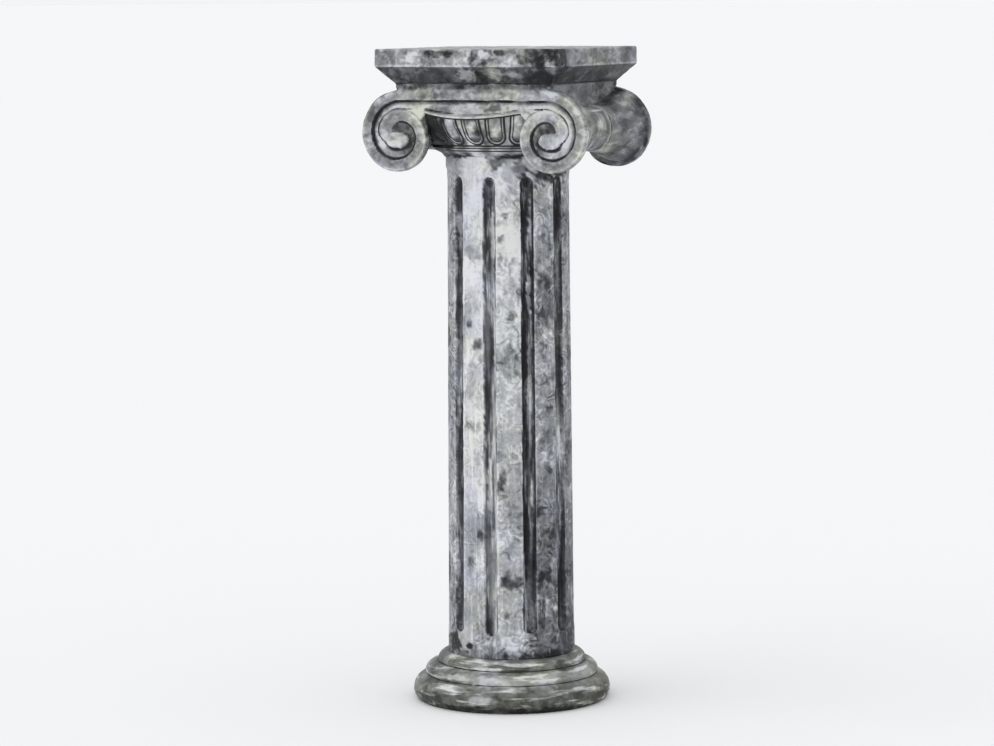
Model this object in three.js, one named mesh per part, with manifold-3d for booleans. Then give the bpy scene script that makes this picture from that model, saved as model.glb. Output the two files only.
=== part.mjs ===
// An ionic column of the decorative, metre-high kind: a ringed base, a fluted shaft and a capital
// with four volutes, each cast in one piece and stacked. Millimetres, +Z up, with the origin at the
// middle of the underside. The volutes face -Y and +Y, and their bolsters run along Y.
import * as THREE from "three";
import { mergeVertices } from "three/addons/utils/BufferGeometryUtils.js";
import Module from "manifold-3d";

const wasm = await Module();
wasm.setup();

// Levels of the whole column
const columnHeight = 1000;
const baseHeight = 74.2;
const shaftTop = 838;
const seamGap = 0.3;

// Base: three rounded rings from the lowest up. Each is widest at its own level, by its reach past
// the radius of the groove above it, and curves in by its rise above that level and its drop below
const baseRings = [
  { radius: 131, level: 15, reach: 22, rise: 24.5, drop: 19, foot: 0 },
  { radius: 113.7, level: 44, reach: 19.3, rise: 14.2, drop: 14.2, foot: 39.5 },
  { radius: 98.7, level: 60, reach: 15.5, rise: 14.2, drop: 14.2, foot: 58.2 },
];
const baseSides = 44;
const ringSteps = 4;

// Shaft: a plain neck over a fluted body that widens a little downwards
const shaftNeckRadius = 95.5;
const shaftTopRadius = 93.5;
const shaftFootRadius = 98;
const plainFoot = 818;
const fluteCount = 10;
const fluteTurn = 6;
const fluteWidth = 20;
const fluteDepth = 9;
const fluteBottom = 112;
const fluteTop = 807;

// Capital: the slab, its sloped underside and the square neck below it
const slabWidth = 302;
const slabFoot = 973;
const neckWidth = 255;
const slopeFoot = 947.6;
const neckFoot = 930;

// Volutes: spirals about a centre on each side, in the planes of the front and back faces. The
// band's radii start above the centre and shrink with each turn, and its end curls into the eye
const voluteCentreX = 123.6;
const voluteCentreZ = 869.6;
const plateThickness = 10;
const plateTurns = 0.84;
const plateSteps = 18;
const bandHeight = 5;
const bandTop = 938;
const bandStartWidth = 15;
const bandFullWidth = 18.5;
const bandWideningTurns = 0.5;
const bandTurns = 1.44;
const turnShrink = 28.5;
const curlStart = 1.2;
const curlTurns = 0.15;
const curlDrop = 9;
const innerCurlShrink = 47;
const spiralSteps = 24;
const eyeRadius = 14.5;
const eyeShift = { across: 2, down: 4 };
const eyeHeight = 4;
const eyeSides = 16;

// Canalis: the channel between the volutes, whose lower edge sags towards the middle
const canalisMiddle = 896;
const canalisSide = 905;
const canalisHalfWidth = 76;
const canalisSteps = 8;
const coreFoot = 878;

// Bolsters: hourglass rolls with a belt of two rings round the waist
const bolsterX = 130.5;
const bolsterZ = 877.5;
const bolsterFlare = 58;
const bolsterWaist = 33;
const bolsterSquash = 0.92;
const flarePower = 1.25;
const beltHalfWidth = 22;
const beltRise = 3;
const bolsterSides = 24;
const bolsterSteps = 4;

// Echinus: a quarter-round cup of eggs over two fine rings and a cone
const eggCount = 24;
const eggTurn = 2;
const cupFootRadius = 115;
const cupRimRadius = 147;
const cupFoot = 855;
const cupRim = 893;
const cupArc = 75;
const coneTop = 847;
const ringBulge = 2;
const rimRise = 9;
const shellHalfWidth = 14;
const shellFoot = 857;
const shellRise = 1;
const hollowDepth = 2;
const eggRise = 2;

const degree = Math.PI / 180;

/** Points of a lathe profile, given as pairs of radius and level. */
function profile(pairs) {
  return pairs.map(([radius, level]) => new THREE.Vector2(radius, level));
}

/** Solid of revolution about the vertical axis. */
function turned(pairs, sides) {
  return new THREE.LatheGeometry(profile(pairs), sides).rotateX(Math.PI / 2);
}

/** Square block whose half width changes with the level, as pairs of half width and level. */
function squareLoft(pairs) {
  const corners = pairs.map(([half, level]) => [half * Math.SQRT2, level]);
  return new THREE.LatheGeometry(profile(corners), 4, Math.PI / 4).rotateX(Math.PI / 2);
}

/** Outline in the plane of the front face, given thickness from one depth to a deeper one. */
function slabOf(shape, frontY, backY) {
  const options = { depth: backY - frontY, bevelEnabled: false };
  const geometry = new THREE.ExtrudeGeometry(shape, options).rotateX(Math.PI / 2);
  return geometry.translate(0, backY, 0);
}

/** Geometry with shared corners merged and no collapsed triangles. */
function welded(geometry) {
  geometry.deleteAttribute("normal");
  geometry.deleteAttribute("uv");
  const merged = mergeVertices(geometry, 1e-3);
  const index = merged.getIndex().array;
  const kept = [];
  for (let i = 0; i < index.length; i += 3) {
    const [a, b, c] = index.slice(i, i + 3);
    if (a !== b && b !== c && c !== a) {
      kept.push(a, b, c);
    }
  }
  merged.setIndex(kept);
  return merged;
}

/** Closed body for joining and cutting. */
function bodyOf(geometry) {
  const merged = welded(geometry);
  const vertProperties = new Float32Array(merged.getAttribute("position").array);
  const triVerts = new Uint32Array(merged.getIndex().array);
  return new wasm.Manifold(new wasm.Mesh({ numProp: 3, vertProperties, triVerts }));
}

/** Geometry of a joined body. */
function geometryOf(body) {
  const { vertProperties, triVerts } = body.getMesh();
  const geometry = new THREE.BufferGeometry();
  geometry.setAttribute("position", new THREE.BufferAttribute(vertProperties, 3));
  geometry.setIndex(new THREE.BufferAttribute(triVerts, 1));
  geometry.computeVertexNormals();
  return geometry;
}

/** The same geometry turned half a turn about the vertical axis. */
function turnedRound(geometry) {
  return geometry.clone().rotateZ(Math.PI);
}

// Base

function baseGeometry() {
  const pairs = [[0, 0]];
  for (const ring of baseRings) {
    const start = Math.asin((ring.foot - ring.level) / ring.drop);
    for (let i = 0; i <= ringSteps; i += 1) {
      const angle = start + (Math.PI / 2 - start) * (i / ringSteps);
      const radius = ring.radius + ring.reach * Math.cos(angle);
      const height = (angle < 0 ? ring.drop : ring.rise) * Math.sin(angle);
      pairs.push([radius, ring.level + height]);
    }
  }
  pairs.push([0, baseHeight]);
  return welded(turned(pairs, baseSides));
}

// Shaft

/** Share of the full flute depth at a place across it and past its straight part, both in half widths. */
function fluteShare(across, past) {
  return Math.sqrt(Math.max(0, 1 - across * across - past * past));
}

/** Radius of the unfluted shaft at a level. */
function shaftRadius(level) {
  if (level >= plainFoot) {
    return shaftNeckRadius;
  }
  const share = THREE.MathUtils.clamp((level - baseHeight) / (fluteTop - baseHeight), 0, 1);
  return THREE.MathUtils.lerp(shaftFootRadius, shaftTopRadius, share);
}

function shaftGeometry() {
  const halfWidth = fluteWidth / 2;
  const acrossStops = [-1, -0.87, -0.5, 0, 0.5, 0.87, 1];
  const filletStops = 2;
  const columnsPerFlute = acrossStops.length - 1 + filletStops;
  const endStops = [1, 0.87, 0.5, 0];
  const levels = [
    baseHeight + seamGap,
    ...endStops.map((stop) => fluteBottom + halfWidth * (1 - stop)),
    ...endStops.map((stop) => fluteTop - halfWidth * (1 - stop)).reverse(),
    plainFoot,
    shaftTop,
  ];
  const pairs = levels.map((level) => [shaftRadius(level), level]);
  const ends = [[0, levels[0]], [0, shaftTop]];
  const geometry = turned([ends[0], ...pairs, ends[1]], fluteCount * columnsPerFlute);

  const position = geometry.getAttribute("position");
  const rows = levels.length + 2;
  const pitch = (2 * Math.PI) / fluteCount;
  for (let i = 0; i < position.count; i += 1) {
    const level = position.getZ(i);
    const radius = Math.hypot(position.getX(i), position.getY(i));
    if (radius < 1) {
      continue;
    }
    const column = Math.floor(i / rows) % (fluteCount * columnsPerFlute);
    const flute = Math.floor(column / columnsPerFlute);
    const stop = column % columnsPerFlute;
    const half = halfWidth / radius;
    let offset = half * (acrossStops[stop] ?? 1);
    if (stop >= acrossStops.length) {
      const share = (stop - acrossStops.length + 1) / filletStops;
      offset = half + (pitch - 2 * half) * share;
    }
    const past = Math.max(0, fluteBottom + halfWidth - level, level - fluteTop + halfWidth) / halfWidth;
    const cut = fluteDepth * fluteShare(acrossStops[stop] ?? 1, past);
    const angle = fluteTurn * degree + flute * pitch + offset;
    position.setX(i, (radius - cut) * Math.sin(angle));
    position.setY(i, -(radius - cut) * Math.cos(angle));
  }
  return welded(geometry);
}

// Capital

/** Outer edge of the volute band: its distance from the centre after a number of turns. */
function bandOuter(turns) {
  const curl = THREE.MathUtils.smoothstep(turns, curlStart, curlStart + curlTurns);
  return bandTop - voluteCentreZ - turnShrink * turns - curlDrop * curl;
}

/** Inner edge of the volute band, which is also the edge of the channel. */
function bandInner(turns) {
  const widening = Math.min(1, turns / bandWideningTurns);
  const width = THREE.MathUtils.lerp(bandStartWidth, bandFullWidth, widening);
  const wholeTurns = Math.min(1, turns);
  return bandOuter(wholeTurns) - width - innerCurlShrink * (turns - wholeTurns);
}

/** Point on a spiral of one volute. The side is 1 for the right and -1 for the left. */
function spiralPoint(side, turns, radius) {
  const angle = turns * 2 * Math.PI;
  const x = side * (voluteCentreX + radius * Math.sin(angle));
  return new THREE.Vector2(x, voluteCentreZ + radius * Math.cos(angle));
}

/** Points along a spiral edge from its start above the volute inwards. */
function spiral(side, edge, lastTurn, steps) {
  const points = [];
  for (let i = 0; i <= steps; i += 1) {
    const turns = lastTurn * (i / steps);
    points.push(spiralPoint(side, turns, edge(turns)));
  }
  return points;
}

/** Lower edge of the canalis, which sags towards the middle, from right to left. */
function canalisEdge() {
  const points = [];
  for (let i = 0; i <= canalisSteps; i += 1) {
    const share = 1 - (2 * i) / canalisSteps;
    const level = canalisMiddle + (canalisSide - canalisMiddle) * share * share;
    points.push(new THREE.Vector2(canalisHalfWidth * share, level));
  }
  return points;
}

/** Outline of both volutes and the canalis between them. */
function plateShape() {
  const right = spiral(1, bandOuter, plateTurns, plateSteps);
  const left = spiral(-1, bandOuter, plateTurns, plateSteps).reverse();
  return new THREE.Shape([...right, ...canalisEdge(), ...left]);
}

/** The raised band that runs straight across the top and rolls up into both volutes. */
function bandShape() {
  return new THREE.Shape([
    ...spiral(-1, bandOuter, bandTurns, spiralSteps).reverse(),
    ...spiral(1, bandOuter, bandTurns, spiralSteps),
    ...spiral(1, bandInner, bandTurns, spiralSteps).reverse(),
    ...spiral(-1, bandInner, bandTurns, spiralSteps),
  ]);
}

/** Core of the capital between the bolsters, seen from the front. */
function coreShape() {
  const half = neckWidth / 2;
  return new THREE.Shape([
    new THREE.Vector2(-half, neckFoot),
    new THREE.Vector2(-half, coreFoot),
    new THREE.Vector2(-canalisHalfWidth, coreFoot),
    ...canalisEdge().reverse(),
    new THREE.Vector2(canalisHalfWidth, coreFoot),
    new THREE.Vector2(half, coreFoot),
    new THREE.Vector2(half, neckFoot),
  ]);
}

/** Low dome of a volute's eye, facing the front. */
function eyeGeometry(side) {
  const faceY = -neckWidth / 2 + bandHeight;
  const root = bandHeight / 2;
  const pairs = [
    [0, -eyeHeight],
    [eyeRadius * 0.6, -eyeHeight * 0.85],
    [eyeRadius, 0],
    [eyeRadius, root],
    [0, root],
  ];
  const geometry = new THREE.LatheGeometry(profile(pairs), eyeSides);
  const x = side * (voluteCentreX + eyeShift.across);
  return geometry.translate(x, faceY, voluteCentreZ - eyeShift.down);
}

/** Radius of a bolster at a distance from its waist. */
function bolsterRadius(distance) {
  const reach = (neckWidth - plateThickness) / 2 - beltHalfWidth;
  const share = Math.max(0, distance - beltHalfWidth) / reach;
  return bolsterWaist + (bolsterFlare - bolsterWaist) * share ** flarePower;
}

function bolsterGeometry(side) {
  const reach = (neckWidth - plateThickness) / 2;
  const flare = [];
  for (let i = 0; i <= bolsterSteps; i += 1) {
    const distance = reach + (beltHalfWidth - reach) * (i / bolsterSteps);
    flare.push([bolsterRadius(distance), distance]);
  }
  const belt = [[0.8, 1], [0.6, 1], [0.25, 0], [0, 0]].map(
    ([place, rise]) => [bolsterWaist + beltRise * rise, beltHalfWidth * place],
  );
  const half = [...flare, ...belt];
  const otherHalf = half.slice(0, -1).reverse();
  const lower = half.map(([radius, distance]) => [radius, -distance]);
  const pairs = [[0, -reach], ...lower, ...otherHalf, [0, reach]];
  const geometry = new THREE.LatheGeometry(profile(pairs), bolsterSides);
  return geometry.scale(bolsterSquash, 1, 1).translate(side * bolsterX, 0, bolsterZ);
}

/** How far the egg carving stands out, at a sideways distance from an egg's middle and a level. */
function eggRelief(sideways, level) {
  const below = Math.max(0, shellFoot + shellHalfWidth - level);
  const reach = Math.hypot(sideways, below) / shellHalfWidth;
  if (reach > 1) {
    return 0;
  }
  if (reach > 0.7) {
    return shellRise;
  }
  return reach > 0.3 ? -hollowDepth : eggRise;
}

function echinusGeometry() {
  const foot = shaftTop + seamGap;
  const ringWidth = (cupFoot - coneTop) / 4;
  const upStops = [0, 0.12, 0.3, 0.62, 1];
  const cup = upStops.map((up) => {
    const swell = Math.sin(up * cupArc * degree) / Math.sin(cupArc * degree);
    const radius = THREE.MathUtils.lerp(cupFootRadius, cupRimRadius, swell);
    return [radius, THREE.MathUtils.lerp(cupFoot, cupRim, up)];
  });
  const stem = [
    [0, foot],
    [shaftNeckRadius, foot],
    [cupFootRadius - ringBulge, coneTop],
    [cupFootRadius, coneTop + ringWidth],
    [cupFootRadius - ringBulge, coneTop + 2 * ringWidth],
    [cupFootRadius, coneTop + 3 * ringWidth],
  ];
  const rim = [
    [cupRimRadius + 3, cupRim + 2],
    [cupRimRadius + 2, cupRim + 6],
    [cupFootRadius, cupRim + 18],
    [0, cupRim + 18],
  ];
  const pairs = [...stem, ...cup, ...rim];
  const acrossStops = [-0.36, -0.22, 0, 0.22, 0.36, 0.5];
  const columns = eggCount * acrossStops.length;
  const geometry = turned(pairs, columns);
  const position = geometry.getAttribute("position");
  for (let i = 0; i < position.count; i += 1) {
    const row = i % pairs.length;
    const column = Math.floor(i / pairs.length) % columns;
    const across = acrossStops[column % acrossStops.length];
    const egg = Math.floor(column / acrossStops.length);
    const pitch = (2 * Math.PI) / eggCount;
    const angle = eggTurn * degree + (egg + across) * pitch;
    const cupRow = row - stem.length;
    const [plainRadius, level] = pairs[row];
    const carved = cupRow >= 0 && cupRow < cup.length - 1;
    const radius = plainRadius + (carved ? eggRelief(across * pitch * plainRadius, level) : 0);
    const sideways = Math.min(1, Math.abs(radius * Math.sin(angle)) / canalisHalfWidth);
    const lift = cupRow >= cup.length - 1 ? rimRise * sideways * sideways : 0;
    position.setXYZ(i, radius * Math.sin(angle), -radius * Math.cos(angle), level + lift);
  }
  return geometry;
}

function capitalGeometry() {
  const half = neckWidth / 2;
  const slab = squareLoft([
    [0, neckFoot],
    [half, neckFoot],
    [half, slopeFoot],
    [slabWidth / 2, slabFoot],
    [slabWidth / 2, columnHeight],
    [0, columnHeight],
  ]);
  const faceY = -half + bandHeight;
  const plate = slabOf(plateShape(), faceY, faceY + plateThickness);
  const band = slabOf(bandShape(), -half, faceY + plateThickness / 2);
  const frontPieces = [plate, band, eyeGeometry(1), eyeGeometry(-1)];

  const pieces = [
    slab,
    slabOf(coreShape(), faceY, -faceY),
    echinusGeometry(),
    bolsterGeometry(1),
    bolsterGeometry(-1),
    ...frontPieces,
    ...frontPieces.map(turnedRound),
  ];
  const body = pieces.map(bodyOf).reduce((whole, piece) => whole.add(piece));
  return geometryOf(body);
}

/** A named mesh in painted, marbled plaster of one average colour. */
function piece(name, geometry, color) {
  const material = new THREE.MeshStandardMaterial({ color, roughness: 0.55, metalness: 0 });
  const mesh = new THREE.Mesh(geometry, material);
  mesh.name = name;
  return mesh;
}

const column = new THREE.Group();
column.add(piece("base", baseGeometry(), 0x5f605c));
column.add(piece("shaft", shaftGeometry(), 0x74787a));
column.add(piece("capital", capitalGeometry(), 0x6f7170));

export default column;
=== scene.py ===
"""Ionic display column in painted, marbled plaster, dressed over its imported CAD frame.

Sizes in the classes are millimetres, in the frame of the CAD model: +Z up, the front face towards -Y.
"""

import logging
import math
from collections.abc import Iterable
from dataclasses import dataclass
from dataclasses import field
from enum import Enum
from typing import NamedTuple

import bpy
import numpy as np
from mathutils import Matrix
from mathutils import Vector
from mathutils.geometry import delaunay_2d_cdt


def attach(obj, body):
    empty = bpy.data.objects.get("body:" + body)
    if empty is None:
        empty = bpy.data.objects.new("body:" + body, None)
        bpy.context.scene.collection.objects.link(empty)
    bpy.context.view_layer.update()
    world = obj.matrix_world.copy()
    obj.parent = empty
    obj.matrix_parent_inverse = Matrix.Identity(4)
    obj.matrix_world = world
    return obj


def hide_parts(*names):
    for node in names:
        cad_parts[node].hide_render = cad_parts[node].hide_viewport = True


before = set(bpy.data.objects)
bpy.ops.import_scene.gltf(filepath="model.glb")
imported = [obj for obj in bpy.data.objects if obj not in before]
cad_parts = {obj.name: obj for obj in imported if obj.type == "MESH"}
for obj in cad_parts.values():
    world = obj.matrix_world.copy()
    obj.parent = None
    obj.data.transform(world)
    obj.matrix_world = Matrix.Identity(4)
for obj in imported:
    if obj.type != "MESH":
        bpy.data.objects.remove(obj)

LOG = logging.getLogger("column")
MM = 0.001
FULL_TURN = 2 * math.pi
FAR = 99.0

Array = np.ndarray


# Small tools


def smooth(value: Array, low: float, high: float) -> Array:
    """Soft step from 0 at low to 1 at high."""
    share = np.clip((value - low) / (high - low), 0.0, 1.0)
    return share * share * (3 - 2 * share)


def bell(value: Array, width: float) -> Array:
    """Soft bump of height 1 round 0, that has nearly gone at twice its width."""
    return np.exp(-((value / width) ** 2))


def wobble(points: Array, size: float, seed: int, waves: int = 7) -> Array:
    """Smooth seeded unevenness over a surface, as a hand leaves it.

    Args:
        points: Places, one row of x, y and z each.
        size: Length of a typical wave, in the points' own unit.
        seed: Seed of the waves.
        waves: How many waves are summed.

    Returns:
        One value for each point, about from -1 to 1.
    """
    dice = np.random.default_rng(seed)
    total = np.zeros(len(points))
    for _ in range(waves):
        direction = dice.normal(size=3)
        direction /= np.linalg.norm(direction)
        length = size * dice.uniform(0.6, 1.7)
        total += np.sin(points @ direction * FULL_TURN / length + dice.uniform(0, FULL_TURN))
    return total / math.sqrt(waves)


def raggedness(points: Array, seed: int) -> Array:
    """Unevenness of the edges of painted patches."""
    return 0.26 * wobble(points, 22, seed) + 0.2 * wobble(points, 9, seed + 1)


def roughness(points: Array) -> Array:
    """Unevenness of the edges of the painted shadow below the capital's cup and at the shaft's foot."""
    return 0.8 * wobble(points, 26, 25) + 0.4 * wobble(points, 12, 24)


def linear(red: float, green: float, blue: float) -> tuple[float, float, float, float]:
    """Colour for a shader from its values on a screen.

    Args:
        red: Red, from 0 to 255.
        green: Green.
        blue: Blue.

    Returns:
        The colour, with its opacity.
    """
    shares = [value / 255 for value in (red, green, blue)]
    light = [s / 12.92 if s <= 0.04045 else ((s + 0.055) / 1.055) ** 2.4 for s in shares]
    return (light[0], light[1], light[2], 1.0)


def azimuth_of(points: Array) -> Array:
    """Azimuth of each point in degrees, 0 at the front and rising towards +X."""
    return np.degrees(np.arctan2(points[:, 0], -points[:, 1]))


def unlike(first: Array, second: float) -> Array:
    """Smallest difference between azimuths, in degrees, with its sign."""
    return (first - second + 180) % 360 - 180


def over(tone: Array, share: Array, other: Array) -> Array:
    """A tone with another one painted over a share of it."""
    return tone * (1 - share) + other * share


class Patch(NamedTuple):
    """Place painted lighter or darker, by the painter or as painted shadow, in millimetres, or degrees round
    a round part.
    """

    middle: float
    level: float
    half_width: float
    half_height: float
    tone: float


@dataclass
class PatchPainter:
    """Paints patches of other tones on the points of one surface.

    On a round part it has a radius, and across is an azimuth. Ragged is the unevenness of the patches'
    edges, and fading where they start and stop to fade, in half widths. Cover says how far the patches
    reach a point, and lift is added to their tone.
    """

    across: Array
    levels: Array
    ragged: Array
    radius: float = 0.0
    fading: tuple = (0.5, 1.15)
    cover: Array | float = 1.0
    lift: Array | float = 0.0

    def sideways(self, middle: float) -> Array:
        """Distance of each point from a patch's middle.

        Args:
            middle: The middle, in the unit of across.

        Returns:
            A distance for each point, in millimetres.
        """
        if self.radius:
            return np.radians(unlike(self.across, middle)) * self.radius
        return self.across - middle

    def paint(self, tone: Array, patches: Iterable[tuple]) -> Array:
        """Paints patches in order.

        Args:
            tone: Tone of each point before.
            patches: Middle, level, half width, half height and tone of each one.

        Returns:
            Tone of each point after.
        """
        for middle, level, half_width, half_height, value in patches:
            place = np.hypot(self.sideways(middle) / half_width, (self.levels - level) / half_height)
            share = (1 - smooth(place + self.ragged, *self.fading)) * self.cover
            tone = over(tone, share, value + self.lift)
        return tone


class Wrap(Enum):
    """How the columns of a grid of points close."""

    ROUND = "round"
    OPEN = "open"


def grid_mesh(name: str, grid: Array, wrap: Wrap = Wrap.ROUND) -> bpy.types.Mesh:
    """Mesh of a grid of points, closed at both ends where its columns go round.

    Args:
        name: Name of the mesh.
        grid: Points in millimetres, by row and column.
        wrap: Whether the last column joins the first. Only such a grid gets its two ends closed.

    Returns:
        The mesh, in metres, with its faces outwards where the columns run anticlockwise going up.
    """
    rows, columns, _ = grid.shape
    points = list(grid.reshape(-1, 3))
    reach = columns if wrap is Wrap.ROUND else columns - 1
    faces = []
    for low in range(0, (rows - 1) * columns, columns):
        high = low + columns
        for column in range(reach):
            after = (column + 1) % columns
            faces.append((low + column, low + after, high + after, high + column))
    if wrap is Wrap.ROUND:
        foot, top = rows * columns, rows * columns + 1
        last = foot - columns
        points += [grid[0].mean(axis=0), grid[-1].mean(axis=0)]
        for column in range(columns):
            after = (column + 1) % columns
            faces += [(foot, after, column), (top, last + column, last + after)]
    return made_mesh(name, points, faces)


def made_mesh(name: str, points: Iterable[Array], faces: list[tuple]) -> bpy.types.Mesh:
    """Mesh from its corners and faces.

    Args:
        name: Name of the mesh.
        points: Its corners in millimetres.
        faces: Its faces, each one a row of corners.

    Returns:
        The mesh, in metres.
    """
    mesh = bpy.data.meshes.new(name)
    mesh.from_pydata([tuple(point * MM) for point in points], [], faces)
    mesh.update()
    return mesh


def around(radius: Array, angles: Array, level: Array) -> Array:
    """Grid of points by their distance from the column's axis, angle from the front, and level."""
    spread = np.broadcast_arrays(radius * np.sin(angles), -radius * np.cos(angles), level)
    return np.stack(spread, axis=2)


def corners_of(mesh: bpy.types.Mesh, layer: str = "co") -> Array:
    """What a mesh keeps for its corners.

    Args:
        mesh: The mesh.
        layer: co for their places in metres, or normal for their normals.

    Returns:
        One row for each corner.
    """
    flat = np.empty(len(mesh.vertices) * 3)
    mesh.vertices.foreach_get(layer, flat)
    return flat.reshape(-1, 3)


def points_of(mesh: bpy.types.Mesh) -> Array:
    """Corners of a mesh in millimetres."""
    return corners_of(mesh) / MM


def move_points(mesh: bpy.types.Mesh, points: Array) -> None:
    """Puts the corners of a mesh at these places, in millimetres."""
    mesh.vertices.foreach_set("co", (points * MM).astype(np.float32).ravel())
    mesh.update()


def write_masks(mesh: bpy.types.Mesh, **masks: Array | float) -> None:
    """Keeps the masks that the paint reads, as named attributes of a mesh.

    Args:
        mesh: The mesh they belong to.
        masks: Tone, how light each corner is painted, painted light and shade included; groove shade,
        how far painted shade darkens it in grooves, creases and hollows; painted highlight, how far a
        highlight is painted on it; busy, how strong the mottling is; and stroke, how strong the
        drawn-out brush strokes are.
    """
    for name, values in ({"ridge": 0.0, "stroke": 1.0} | masks).items():
        layer = mesh.attributes.new(name, "FLOAT", "POINT")
        every = np.broadcast_to(values, len(mesh.vertices))
        layer.data.foreach_set("value", every.astype(np.float32))


@dataclass
class Piece:
    """One piece of the column that the camera sees."""

    name: str
    node: str
    mesh: bpy.types.Mesh

    def finish(self, material: bpy.types.Material) -> None:
        """Makes the object, gives it its finish, and puts it in the frame.

        Args:
            material: The finish.
        """
        self.mesh.shade_smooth()
        self.mesh.materials.clear()
        self.mesh.materials.append(material)
        made = bpy.data.objects.new(self.name, self.mesh)
        bpy.context.scene.collection.objects.link(made)
        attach(made, "root")
        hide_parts(self.node)
        triangles = sum(len(face.vertices) - 2 for face in self.mesh.polygons)
        LOG.info("%s: %d triangles", self.name, triangles)


# Node trees

FLOAT = "NodeSocketFloat"
COLOUR = "NodeSocketColor"
GEOMETRY = "NodeSocketGeometry"
ORIGIN = (0.0, 0.0, 0.0)
HALVES = (0.5, 0.5, 0.5)


class Term:
    """Output of a node, that adds, multiplies and divides as a number does."""

    def __init__(self, sheet: "NodeSheet", socket: bpy.types.NodeSocket) -> None:
        """Keeps the sheet that it is written on, and its socket."""
        self.sheet = sheet
        self.socket = socket

    def __add__(self, other: "Value") -> "Term":
        """This and another one."""
        return self.sheet.math("ADD", self, other)

    def __sub__(self, other: "Value") -> "Term":
        """This less another one."""
        return self.sheet.math("SUBTRACT", self, other)

    def __rsub__(self, other: "Value") -> "Term":
        """Another one less this."""
        return self.sheet.math("SUBTRACT", other, self)

    def __mul__(self, other: "Value") -> "Term":
        """This times another one."""
        return self.sheet.math("MULTIPLY", self, other)

    def __truediv__(self, other: "Value") -> "Term":
        """This divided by another one."""
        return self.sheet.math("DIVIDE", self, other)

    def __rtruediv__(self, other: "Value") -> "Term":
        """Another one divided by this."""
        return self.sheet.math("DIVIDE", other, self)

    __radd__ = __add__
    __rmul__ = __mul__


Value = float | tuple | Term


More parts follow.
